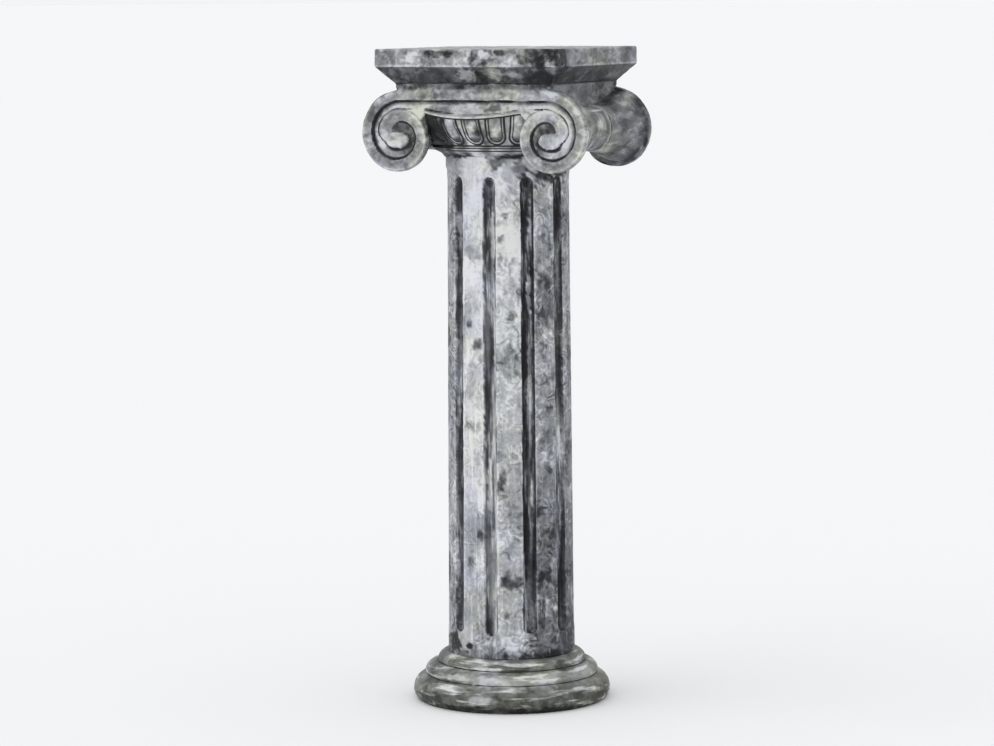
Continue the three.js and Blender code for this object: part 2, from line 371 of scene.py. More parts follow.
class NodeSheet:
    """Short way to write a node tree: each method adds a node and gives back an output of it."""

    def __init__(self, tree: bpy.types.NodeTree) -> None:
        """Starts writing in a tree."""
        self.tree = tree

    @classmethod
    def group(cls, name: str, kind: str, inputs: dict, output: tuple) -> tuple["NodeSheet", dict]:
        """Starts a node group.

        Args:
            name: Name of the group.
            kind: ShaderNodeTree or GeometryNodeTree.
            inputs: Value of each input by its name, or the kind of its socket where it has none.
            output: Name and kind of what comes out.

        Returns:
            The sheet to write on, and the inputs by name.
        """
        tree = bpy.data.node_groups.new(name, kind)
        kinds = {int: "NodeSocketInt", float: FLOAT, 3: "NodeSocketVector", 4: COLOUR}
        for label, value in inputs.items():
            if isinstance(value, str):
                tree.interface.new_socket(label, in_out="INPUT", socket_type=value)
                continue
            socket = kinds[len(value) if isinstance(value, tuple) else type(value)]
            tree.interface.new_socket(label, in_out="INPUT", socket_type=socket).default_value = value
        tree.interface.new_socket(output[0], in_out="OUTPUT", socket_type=output[1])
        sheet = cls(tree)
        start = tree.nodes.new("NodeGroupInput")
        return sheet, {label: Term(sheet, start.outputs[label]) for label in inputs}

    def give(self, value: Term) -> bpy.types.NodeTree:
        """Ends a group with what comes out of it."""
        self.put(self.tree.nodes.new("NodeGroupOutput").inputs[0], value)
        return self.tree

    def give_dressed(self, shape: Term, material: Term) -> bpy.types.NodeTree:
        """Ends a geometry group: its instances are made real and get their finish."""
        real = self.add("GeometryNodeRealizeInstances", {"Geometry": shape})
        return self.give(self.add("GeometryNodeSetMaterial", {"Geometry": real, "Material": material}))

    def put(self, socket: bpy.types.NodeSocket, value: Value) -> None:
        """Links a value to a socket, or sets it there.

        Args:
            socket: The socket.
            value: What it gets.
        """
        if isinstance(value, Term):
            self.tree.links.new(value.socket, socket)
        else:
            socket.default_value = value

    def add(self, kind: str, inputs: dict | None = None, output: int | str = 0, **settings: object) -> Term:
        """Adds one node.

        Args:
            kind: Blender's name for the node.
            inputs: Values by the name or number of the socket.
            output: Name or number of the output that is wanted.
            settings: The node's own settings.

        Returns:
            That output.
        """
        node = self.tree.nodes.new(kind)
        for name, value in settings.items():
            setattr(node, name, value)
        for name, value in (inputs or {}).items():
            self.put(node.inputs[name], value)
        return Term(self, node.outputs[output])

    def math(self, operation: str, *values: Value) -> Term:
        """Result of a sum on up to three values."""
        return self.add("ShaderNodeMath", dict(enumerate(values)), operation=operation)

    def vector(self, operation: str, *values: Value) -> Term:
        """Result of a sum on vectors."""
        output = "Value" if operation == "LENGTH" else "Vector"
        return self.add("ShaderNodeVectorMath", dict(enumerate(values)), output, operation=operation)

    def scaled(self, vector: Value, factor: Value) -> Term:
        """A vector times a number."""
        return self.add("ShaderNodeVectorMath", {0: vector, "Scale": factor}, operation="SCALE")

    def join(self, x: Value, y: Value, z: Value) -> Term:
        """Vector from its three parts."""
        return self.add("ShaderNodeCombineXYZ", {0: x, 1: y, 2: z})

    def split(self, vector: Value) -> list[Term]:
        """The three parts of a vector."""
        node = self.add("ShaderNodeSeparateXYZ", {0: vector}).socket.node
        return [Term(self, socket) for socket in node.outputs]

    def step(self, value: Value, low: Value, high: Value) -> Term:
        """Soft step from 0 at low to 1 at high."""
        inputs = {"Value": value, "From Min": low, "From Max": high}
        return self.add("ShaderNodeMapRange", inputs, "Result", interpolation_type="SMOOTHSTEP")

    def spread(self, value: Value, low: Value, high: Value) -> Term:
        """A share from 0 to 1 taken to the range from low to high."""
        return self.add("ShaderNodeMapRange", {"Value": value, "To Min": low, "To Max": high}, "Result")

    def noise(
        self,
        place: Value,
        scale: Value,
        seed: Value,
        detail: float = 3.0,
        rough: float = 0.55,
        output: str = "Fac",
    ) -> Term:
        """Noise texture in four dimensions, whose fourth one is the seed.

        Args:
            place: Where the pattern is read.
            scale: Waves for each metre.
            seed: Which pattern of this kind it is.
            detail: How many finer layers it has.
            rough: Strength of the finer layers.
            output: Fac for one value, or Color for three.

        Returns:
            The pattern.
        """
        inputs = {"Vector": place, "W": seed, "Scale": scale, "Detail": detail, "Roughness": rough}
        return self.add("ShaderNodeTexNoise", inputs, output, noise_dimensions="4D")

    def mix(self, share: Value, first: Value, second: Value, blend: str = "MIX") -> Term:
        """Colour between two, by a share."""
        inputs = {0: share, 6: first, 7: second}
        return self.add("ShaderNodeMix", inputs, 2, data_type="RGBA", blend_type=blend)


def carve(name: str, tree: bpy.types.NodeTree, values: dict) -> bpy.types.Mesh:
    """Runs a Geometry Nodes tree once on an empty mesh, and keeps its result as a plain mesh.

    Args:
        name: Name of the mesh that comes out.
        tree: The tree.
        values: Values by the name of the tree's input.

    Returns:
        The mesh, with no modifier behind it.
    """
    holder = bpy.data.objects.new(name + "_rule", bpy.data.meshes.new(name + "_start"))
    bpy.context.scene.collection.objects.link(holder)
    modifier = holder.modifiers.new("rule", "NODES")
    modifier.node_group = tree
    for item in tree.interface.items_tree:
        if item.item_type == "SOCKET" and item.in_out == "INPUT" and item.name in values:
            modifier[item.identifier] = values[item.name]
    depsgraph = bpy.context.evaluated_depsgraph_get()
    mesh = bpy.data.meshes.new_from_object(holder.evaluated_get(depsgraph))
    mesh.name = name
    holder.modifiers.remove(modifier)
    bpy.data.objects.remove(holder)
    return mesh


# Paint

SHADES = {"Black": 0.01, "Dark": 0.04, "Middle": 0.15, "Light": 0.36, "White": 0.62}
TINTS = ("Cool Tint", "Warm Tint")


class PaintEffects:
    """Painter's effects that every finish of the column uses, each one a shader group built once."""

    def __init__(self) -> None:
        """Builds the groups."""
        self.mottle = self.build_mottle()
        self.swirls = self.build_swirls()
        self.streaks = self.build_streaks()
        self.tones = self.build_tones()

    @staticmethod
    def curled(sheet: NodeSheet, given: dict, scale: Term, amount: Term) -> Term:
        """A group's place pushed about by coarse noise, so that patterns on it curl.

        Args:
            sheet: Sheet that is written on.
            given: The group's inputs.
            scale: Waves for each metre of the push.
            amount: Length of the push in metres.

        Returns:
            The pushed place.
        """
        push = sheet.noise(given["Place"], scale, given["Seed"], 1.0, output="Color")
        centred = sheet.vector("SUBTRACT", push, HALVES)
        return sheet.vector("ADD", given["Place"], sheet.scaled(centred, amount))

    def build_mottle(self) -> bpy.types.NodeTree:
        """Sponged mottling: curled noise whose contrast is raised.

        Returns:
            The group.
        """
        inputs = {"Place": ORIGIN, "Scale": 60.0, "Curl": 0.02, "Contrast": 1.0, "Seed": 0.0}
        sheet, given = NodeSheet.group("paint_mottle", "ShaderNodeTree", inputs, ("Mask", FLOAT))
        place = self.curled(sheet, given, given["Scale"] * 0.45, given["Curl"])
        pattern = sheet.noise(place, given["Scale"], given["Seed"], 4.0, 0.62)
        half_width = 0.22 / given["Contrast"]
        return sheet.give(sheet.step(pattern, 0.5 - half_width, 0.5 + half_width))

    def build_swirls(self) -> bpy.types.NodeTree:
        """Fine curled strokes: the contour lines of a curled noise, broken up by another one.

        Returns:
            The group.
        """
        inputs = {"Place": ORIGIN, "Scale": 30.0, "Lines": 9.0, "Width": 0.3, "Cover": 0.5, "Seed": 0.0}
        sheet, given = NodeSheet.group("paint_swirls", "ShaderNodeTree", inputs, ("Mask", FLOAT))
        place = self.curled(sheet, given, given["Scale"], 0.9 / given["Scale"])
        hills = sheet.noise(place, given["Scale"], given["Seed"], 1.5, 0.5)
        lines = sheet.math("FRACT", hills * given["Lines"])
        distance = sheet.math("ABSOLUTE", lines - 0.5) * 2.0
        stroke = 1.0 - sheet.step(distance, 0.0, given["Width"])
        gate = sheet.noise(given["Place"], given["Scale"] * 1.1, given["Seed"] + 7.3, 2.0)
        edge = 0.75 - given["Cover"] * 0.5
        return sheet.give(stroke * sheet.step(gate, edge, edge + 0.16))

    def build_streaks(self) -> bpy.types.NodeTree:
        """Drawn-out brush strokes, along whichever way the place is stretched.

        Returns:
            The group.
        """
        inputs = {"Place": ORIGIN, "Stretch": (1.0, 1.0, 1.0), "Cover": 0.5, "Softness": 0.1, "Seed": 0.0}
        sheet, given = NodeSheet.group("paint_streaks", "ShaderNodeTree", inputs, ("Mask", FLOAT))
        place = sheet.vector("MULTIPLY", given["Place"], given["Stretch"])
        pattern = sheet.noise(place, 1.0, given["Seed"], 3.0, 0.6)
        edge = 0.75 - given["Cover"] * 0.5
        return sheet.give(sheet.step(pattern, edge, edge + given["Softness"]))

    def build_tones(self) -> bpy.types.NodeTree:
        """Colour of the paint for a tone from 0, the darkest, to 1, the lightest.

        Returns:
            The group.
        """
        inputs = {"Tone": 0.5, "Place": ORIGIN, "Seed": 0.0}
        inputs |= {name: (shade, shade, shade, 1.0) for name, shade in SHADES.items()}
        inputs |= {name: (1.0, 1.0, 1.0, 1.0) for name in TINTS}
        sheet, given = NodeSheet.group("paint_tones", "ShaderNodeTree", inputs, ("Color", COLOUR))
        first, *others = SHADES
        colour = given[first]
        for index, name in enumerate(others):
            limits = {"From Min": index / len(others), "From Max": (index + 1) / len(others)}
            share = sheet.add("ShaderNodeMapRange", {"Value": given["Tone"]} | limits, "Result")
            colour = sheet.mix(share, colour, given[name])
        for name, scale, offset in zip(TINTS, (19.0, 15.0), (20.0, 31.0)):
            patches = sheet.noise(given["Place"], scale, given["Seed"] + offset, 2.0)
            colour = sheet.mix(sheet.step(patches, 0.44, 0.6), colour, given[name], "MULTIPLY")
        return sheet.give(colour)


@dataclass(frozen=True)
class MarbledPaint:
    """Satin faux-marble paint on plaster, in the values of one part of the column.

    Shades are its colours on a screen from the darkest to the lightest, and tints a cool and a warm one
    that it turns to in places. Squeeze shortens or stretches all its patterns. Beside its own values it
    reads the masks that the meshes carry.
    """

    name: str
    seed: float
    shades: tuple
    tints: tuple
    cloud_scale: float = 26.0
    cloud_strength: float = 0.1
    mottle_scale: float = 75.0
    mottle_strength: float = 0.1
    grain_scale: float = 230.0
    grain_strength: float = 0.05
    swirl_scale: float = 33.0
    dark_swirl_strength: float = 0.15
    light_swirl_strength: float = 0.18
    swirl_lines: float = 5.0
    swirl_width: float = 0.8
    squeeze: tuple = (1.0, 1.0, 1.0)
    streak_stretch: tuple = (120.0, 120.0, 14.0)
    streak_strength: float = 0.2
    roughness: tuple = (0.42, 0.68)
    specular: float = 0.35
    bump: float = 0.5
    bump_depth: float = 0.0012

    def material(self, effects: PaintEffects) -> bpy.types.Material:
        """Builds the material.

        Args:
            effects: The shared paint groups.

        Returns:
            The material.
        """
        made = bpy.data.materials.new(self.name)
        made.use_nodes = True
        sheet = NodeSheet(made.node_tree)
        shader = made.node_tree.nodes["Principled BSDF"]
        place = sheet.vector("MULTIPLY", sheet.add("ShaderNodeTexCoord", output="Object"), self.squeeze)
        tone, groove, ridge, busy, stroke = (
            sheet.add("ShaderNodeAttribute", output="Fac", attribute_name=mask)
            for mask in ("tone", "groove", "ridge", "busy", "stroke")
        )

        def centred(mask: Term, strength: float) -> Term:
            """A mask taken to both sides of 0."""
            return (mask - 0.5) * (strength * 2)

        def layer(group: bpy.types.NodeTree, offset: float, **values: Value) -> Term:
            """One of the shared effects, with a seed of its own."""
            inputs = {"Place": place, "Seed": self.seed + offset} | values
            return sheet.add("ShaderNodeGroup", inputs, node_tree=group)

        cloud = layer(effects.mottle, 1.0, Scale=self.cloud_scale, Curl=0.05, Contrast=1.2)
        mottle = layer(effects.mottle, 2.0, Scale=self.mottle_scale, Curl=0.025, Contrast=1.1)
        grain = layer(effects.mottle, 3.0, Scale=self.grain_scale, Curl=0.006, Contrast=1.2)
        curls = {"Lines": self.swirl_lines, "Width": self.swirl_width}
        dark_swirls = layer(effects.swirls, 0.0, Scale=self.swirl_scale, Cover=0.6, **curls)
        light_swirls = layer(effects.swirls, 11.0, Scale=self.swirl_scale * 1.3, Cover=0.66, **curls)
        streaks = layer(effects.streaks, 5.0, Stretch=self.streak_stretch, Cover=0.5, Softness=0.16)

        pattern = centred(mottle, self.mottle_strength) + centred(grain, self.grain_strength)
        pattern += light_swirls * self.light_swirl_strength
        pattern -= dark_swirls * self.dark_swirl_strength
        total = tone + pattern * busy + centred(cloud, self.cloud_strength)
        total += centred(streaks, self.streak_strength) * stroke
        # painted highlight along edges and ridges
        total += ridge * 0.3
        # painted shade in grooves, creases and hollows, broken up by the mottling
        broken = groove + centred(mottle, 0.12)
        shaded_groove = sheet.step(broken, 0.1, 0.75) * sheet.step(groove, 0.02, 0.2)
        total *= 1.0 - shaded_groove * 0.95

        colours = {name: linear(*shade) for name, shade in zip(SHADES, self.shades)}
        colours |= dict(zip(TINTS, self.tints))
        sheet.put(shader.inputs["Base Color"], layer(effects.tones, 0.0, Tone=total, **colours))
        sheet.put(shader.inputs["Roughness"], sheet.spread(grain, *self.roughness))
        relief = {"Height": total + grain * 0.6, "Strength": self.bump, "Distance": self.bump_depth}
        sheet.put(shader.inputs["Normal"], sheet.add("ShaderNodeBump", relief, "Normal"))
        shader.inputs["Specular IOR Level"].default_value = self.specular
        return made


BASE_PAINT = MarbledPaint(
    name="olive_marbling",
    seed=2.0,
    shades=((18, 18, 15), (74, 74, 69), (128, 129, 124), (178, 180, 177), (220, 222, 219)),
    tints=((0.95, 0.95, 1.0, 1.0), (0.99, 0.98, 0.9, 1.0)),
    streak_stretch=(14.0, 14.0, 110.0),
    streak_strength=0.17,
    dark_swirl_strength=0.12,
    light_swirl_strength=0.1,
)
SHAFT_PAINT = MarbledPaint(
    name="charcoal_marbling",
    seed=5.0,
    shades=((13, 14, 19), (66, 68, 73), (124, 127, 132), (180, 182, 186), (232, 233, 236)),
    tints=((0.945, 0.95, 1.0, 1.0), (1.0, 1.0, 0.93, 1.0)),
    mottle_strength=0.08,
    grain_strength=0.07,
    swirl_scale=30.0,
    dark_swirl_strength=0.25,
    light_swirl_strength=0.22,
    swirl_lines=8.0,
    swirl_width=0.75,
    bump=0.75,
)
CAPITAL_PAINT = MarbledPaint(
    name="grey_marbling",
    seed=8.0,
    shades=((14, 15, 18), (67, 69, 73), (121, 123, 125), (171, 173, 174), (218, 220, 219)),
    tints=((0.93, 0.93, 1.0, 1.0), (1.0, 0.99, 0.88, 1.0)),
    streak_stretch=(50.0, 50.0, 70.0),
    streak_strength=0.1,
    mottle_strength=0.17,
    dark_swirl_strength=0.2,
    light_swirl_strength=0.2,
    swirl_lines=7.0,
    swirl_width=0.7,
    squeeze=(1.0, 0.6, 1.0),
)


# Studio


@dataclass(frozen=True)
class PlainFloor:
    """Plain pale studio floor."""

    name: str = "studio_floor"
    shade: float = 0.96
    roughness: float = 0.9
    specular: float = 0.1

    def material(self) -> bpy.types.Material:
        """Builds the material.

        Returns:
            The material.
        """
        made = bpy.data.materials.new(self.name)
        made.use_nodes = True
        shader = made.node_tree.nodes["Principled BSDF"]
        shader.inputs["Base Color"].default_value = (self.shade, self.shade, self.shade, 1.0)
        shader.inputs["Roughness"].default_value = self.roughness
        shader.inputs["Specular IOR Level"].default_value = self.specular
        return made


@dataclass
class Studio:
    """Camera, light and floor, in metres and degrees."""

    distance: float = 5.328
    height: float = 1.072
    azimuth: float = 24.82
    pitch: float = 6.10
    roll: float = -0.45
    yaw: float = 0.21
    focal_pixels: float = 3492.6
    picture_width: int = 994
    sensor: float = 36.0
    sun_azimuth: float = -48.0
    sun_height: float = 38.0
    sun_strength: float = 0.42
    sun_spread: float = 60.0
    sun_colour: tuple = (1.0, 0.99, 0.97)
    sky_colour: tuple = (0.97, 0.985, 1.0, 1.0)
    sky: float = 0.9
    backdrop: float = 0.92
    floor_size: float = 3000.0

    def build(self) -> None:
        """Makes the camera, the light and the floor."""
        self.build_camera()
        self.build_light()
        self.build_surround()
        self.build_floor()

    def build_camera(self) -> None:
        """Makes the camera at the photograph's viewpoint."""
        azimuth, yaw = math.radians(self.azimuth), math.radians(self.yaw)
        pitch, roll = math.radians(self.pitch), math.radians(self.roll)
        place = Vector((self.distance * math.sin(azimuth), -self.distance * math.cos(azimuth), self.height))
        level = Vector((-math.sin(azimuth + yaw), math.cos(azimuth + yaw), 0.0))
        right = Vector((math.cos(azimuth + yaw), math.sin(azimuth + yaw), 0.0))
        up = Vector((0.0, 0.0, 1.0))
        forward = level * math.cos(pitch) - up * math.sin(pitch)
        above = up * math.cos(pitch) + level * math.sin(pitch)
        across = right * math.cos(roll) + above * math.sin(roll)
        upwards = above * math.cos(roll) - right * math.sin(roll)
        data = bpy.data.cameras.new("photo_camera")
        data.sensor_width = self.sensor
        data.lens = self.focal_pixels * self.sensor / self.picture_width
        data.clip_end = 2 * self.floor_size
        camera = bpy.data.objects.new("photo_camera", data)
        turn = Matrix((across, upwards, -forward)).transposed().to_4x4()
        camera.matrix_world = Matrix.Translation(place) @ turn
        bpy.context.scene.collection.objects.link(camera)
        bpy.context.scene.camera = camera

    def build_light(self) -> None:
        """Makes one broad light from the left."""
        data = bpy.data.lights.new("window_light", "SUN")
        data.energy = self.sun_strength
        data.angle = math.radians(self.sun_spread)
        data.color = self.sun_colour
        light = bpy.data.objects.new("window_light", data)
        azimuth, height = math.radians(self.sun_azimuth), math.radians(self.sun_height)
        level = math.cos(height)
        towards = Vector((math.sin(azimuth) * level, -math.cos(azimuth) * level, math.sin(height)))
        light.rotation_euler = towards.to_track_quat("Z", "Y").to_euler()
        bpy.context.scene.collection.objects.link(light)

    def build_surround(self) -> None:
        """Makes an even pale surround."""
        world = bpy.data.worlds.new("studio_surround")
        world.use_nodes = True
        sheet = NodeSheet(world.node_tree)
        surround = world.node_tree.nodes["Background"]
        surround.inputs["Color"].default_value = self.sky_colour
        seen = sheet.add("ShaderNodeLightPath", output="Is Camera Ray")
        sheet.put(surround.inputs["Strength"], sheet.spread(seen, self.sky, self.backdrop))
        bpy.context.scene.world = world
        bpy.context.scene.view_settings.view_transform = "Standard"

    def build_floor(self) -> None:
        """Makes the floor."""
        half = self.floor_size / 2
        mesh = bpy.data.meshes.new("floor")
        corners = [(-half, -half, 0), (half, -half, 0), (half, half, 0), (-half, half, 0)]
        mesh.from_pydata(corners, [], [(0, 1, 2, 3)])
        mesh.materials.append(PlainFloor().material())
        floor = bpy.data.objects.new("floor", mesh)
        bpy.context.scene.collection.objects.link(floor)


# The base

BASE_PATCHES = (
    (-22, 64, 26, 7, 0.6),
    (2, 64, 12, 5, 0.86),
    (13, 61, 14, 3, 1.0),
    (30, 64, 22, 8, 0.42),
    (48, 62, 12, 4, 0.66),
    (66, 62, 24, 7, 0.45),
    (26, 45, 100, 9, 0.8),
    (-16, 48, 26, 5, 0.92),
    (9, 44, 32, 8, 0.96),
    (30, 44, 10, 8, 0.84),
    (-36, 42, 22, 9, 0.42),
    (66, 46, 30, 8, 0.68),
    (-18, 29, 46, 5, 0.74),
    (8, 21, 26, 7, 0.84),
    (31, 14, 40, 10, 0.4),
    (48, 30, 36, 4, 0.62),
    # painted shade along the bottom of the base, where it meets the floor
    (0, 2, 400, 9, 0.2),
    (72, 16, 26, 10, 0.42),
    (92, 18, 30, 10, 0.3),
    (-34, 14, 34, 10, 0.34),
    (140, 46, 50, 8, 0.74),
    (185, 20, 54, 7, 0.7),
    (230, 64, 40, 7, 0.8),
    (255, 42, 46, 8, 0.7),
    (300, 24, 50, 7, 0.72),
)


@dataclass(frozen=True)
class Ring:
    """Ring of the base, widest at its own level by its reach past the radius of the groove above it."""

    radius: float
    level: float
    reach: float
    rise: float
    drop: float
    foot: float


@dataclass
class Base:
    """Round foot of three stacked rings, the lowest first."""

    paint: bpy.types.Material
    rings: tuple = (
        Ring(radius=130.0, level=15.0, reach=21.9, rise=24.5, drop=19.0, foot=0.0),
        Ring(radius=113.7, level=44.0, reach=19.3, rise=14.2, drop=14.2, foot=39.5),
        Ring(radius=98.7, level=60.0, reach=15.5, rise=14.2, drop=14.2, foot=58.2),
    )
    top: float = 74.2
    underside_radii: tuple = (60.0, 120.0, 140.0)
    top_radii: tuple = (96.0, 50.0)
    columns: int = 288
    steps: int = 34
    unevenness: float = 0.5
    groove_width: float = 2.0
    last_groove: float = 70.0

    def outline(self) -> tuple[Array, Array]:
        """Profile from the underside to the top.

        Returns:
            Pairs of radius and level, and how deep each pair is in the hollow between two rings, where shade
            is painted.
        """
        pairs = [(radius, 0.0) for radius in self.underside_radii]
        grooves = [0.0] * len(pairs)
        for ring in self.rings:
            start = math.asin((ring.foot - ring.level) / ring.drop)
            for step in range(self.steps + 1):
                angle = start + (math.pi / 2 - start) * step / self.steps
                lift = ring.drop if angle < 0 else ring.rise
                level = ring.level + lift * math.sin(angle)
                pairs.append((ring.radius + ring.reach * math.cos(angle), level))
                near = min(angle - start, math.pi / 2 - angle) * ring.reach
                grooves.append(bell(near, self.groove_width) if level < self.last_groove else 0.0)
        highest = pairs[-1][1]
        pairs += [(radius, highest) for radius in self.top_radii]
        return np.array(pairs), np.array(grooves + [0.0] * len(self.top_radii))

    def build(self) -> None:
        """Makes the base."""
        pairs, grooves = self.outline()
        angles = np.linspace(0, FULL_TURN, self.columns, endpoint=False)
        mesh = grid_mesh("base_rings", around(pairs[:, :1], angles, pairs[:, 1:]))
        points = points_of(mesh)
        radii = np.hypot(points[:, 0], points[:, 1])
        dent = self.unevenness * (0.5 + 0.5 * wobble(points, 70, 11)) + 0.25 * wobble(points, 14, 12)
        shrink = 1 - np.clip(dent, 0, 1.5) / np.maximum(radii, 40)
        points[:, :2] *= np.where(radii > 90, shrink, 1.0)[:, None]
        points[:, 2] = np.clip(points[:, 2], 0, self.top)
        move_points(mesh, points)
        levels = points[:, 2]
        tone = 0.64 + 0.1 * wobble(points, 60, 13) + 0.08 * smooth(levels, 24, 50)
        azimuths, ragged = azimuth_of(points), raggedness(points, 81)
        painter = PatchPainter(azimuths, levels, ragged, self.rings[0].radius, lift=0.1)
        tone = painter.paint(tone, BASE_PATCHES)
        tone += 0.06 * smooth(levels, 30, 42) - 0.14 * smooth(levels, 54, 60)
        # painted shade in the hollows where the rings meet
        groove = 0.55 * np.concatenate([np.repeat(grooves, self.columns), [0, 0]])
        write_masks(mesh, tone=tone, groove=groove, busy=0.55, stroke=1.6)
        Piece("base_rings", "base", mesh).finish(self.paint)


# The shaft

SHAFT_PATCHES = (
    (-34, 818, 22, 24, 0.74),
    (-8, 814, 24, 30, 1.0),
    (24, 816, 14, 22, 0.8),
    (14, 829, 14, 11, 0.36),
    (36, 820, 13, 15, 0.5),
    # painted shadow under the right-hand volute
    (68, 818, 42, 24, 0.12),
    (42, 797, 7, 14, 0.0),
    (5, 800, 6, 7, 0.34),
    (7, 760, 7, 22, 0.36),
    (-30, 790, 7, 24, 0.3),
    (78, 798, 7, 10, 0.05),
    (9, 715, 5, 50, 1.0),
    (10, 585, 4, 60, 1.0),
    (4, 640, 4, 34, 0.85),
    (10, 440, 4, 60, 0.95),
    (4, 330, 4, 50, 0.9),
    (8, 240, 5, 46, 0.85),
    (47, 735, 5, 40, 1.0),
    (45, 640, 4, 36, 0.85),
    (47, 330, 4, 44, 0.7),
    (40, 520, 4, 70, 0.06),
    (40, 250, 4, 60, 0.1),
    (-33, 720, 5, 34, 0.85),
    (-33, 520, 4, 60, 0.7),
    (-28, 330, 3, 50, 0.65),
    (80, 600, 3, 60, 0.5),
    (80, 330, 3, 60, 0.5),
    (-12, 690, 20, 14, 0.75),
    (-16, 584, 8, 9, 0.3),
    (-6, 555, 10, 8, 0.4),
    (-12, 430, 18, 8, 0.7),
    (-4, 262, 7, 8, 0.35),
    (-14, 222, 9, 14, 0.45),
    (-10, 195, 14, 24, 0.8),
    (-16, 92, 8, 5, 0.0),
    (-10, 78, 9, 6, 1.0),
    (20, 750, 8, 6, 0.55),
    (18, 712, 7, 9, 0.5),
    (34, 634, 9, 7, 0.35),
    (28, 597, 11, 8, 0.55),
    (24, 530, 22, 24, 0.62),
    (16, 345, 9, 22, 0.35),
    (22, 225, 18, 14, 0.86),
    (27, 192, 24, 13, 0.26),
    (26, 125, 20, 36, 0.78),
    (32, 90, 12, 11, 1.0),
    (60, 745, 20, 24, 0.7),
    (60, 620, 22, 70, 0.42),
    (58, 410, 12, 14, 0.55),
    (58, 195, 18, 18, 0.2),
    (62, 148, 16, 14, 0.72),
    (70, 110, 12, 20, 0.65),
    (66, 80, 76, 7, 0.3),
    (-40, 90, 26, 16, 0.12),
    (-8, 88, 10, 12, 0.92),
    (4, 94, 14, 12, 0.75),
    (12, 100, 10, 8, 0.85),
    (28, 92, 12, 14, 0.9),
    (60, 104, 30, 20, 0.45),
    (-52, 560, 12, 16, 0.2),
    (-54, 205, 12, 22, 0.2),
    (-47, 770, 6, 24, 0.85),
    (10, 150, 6, 20, 0.8),
    (-27, 105, 7, 12, 0.8),
    (44, 710, 4, 16, 0.6),
    (46, 440, 4, 12, 0.6),
    (45, 145, 4, 16, 0.7),
    (90, 110, 30, 30, 0.25),
    (98, 520, 14, 60, 0.35),
)


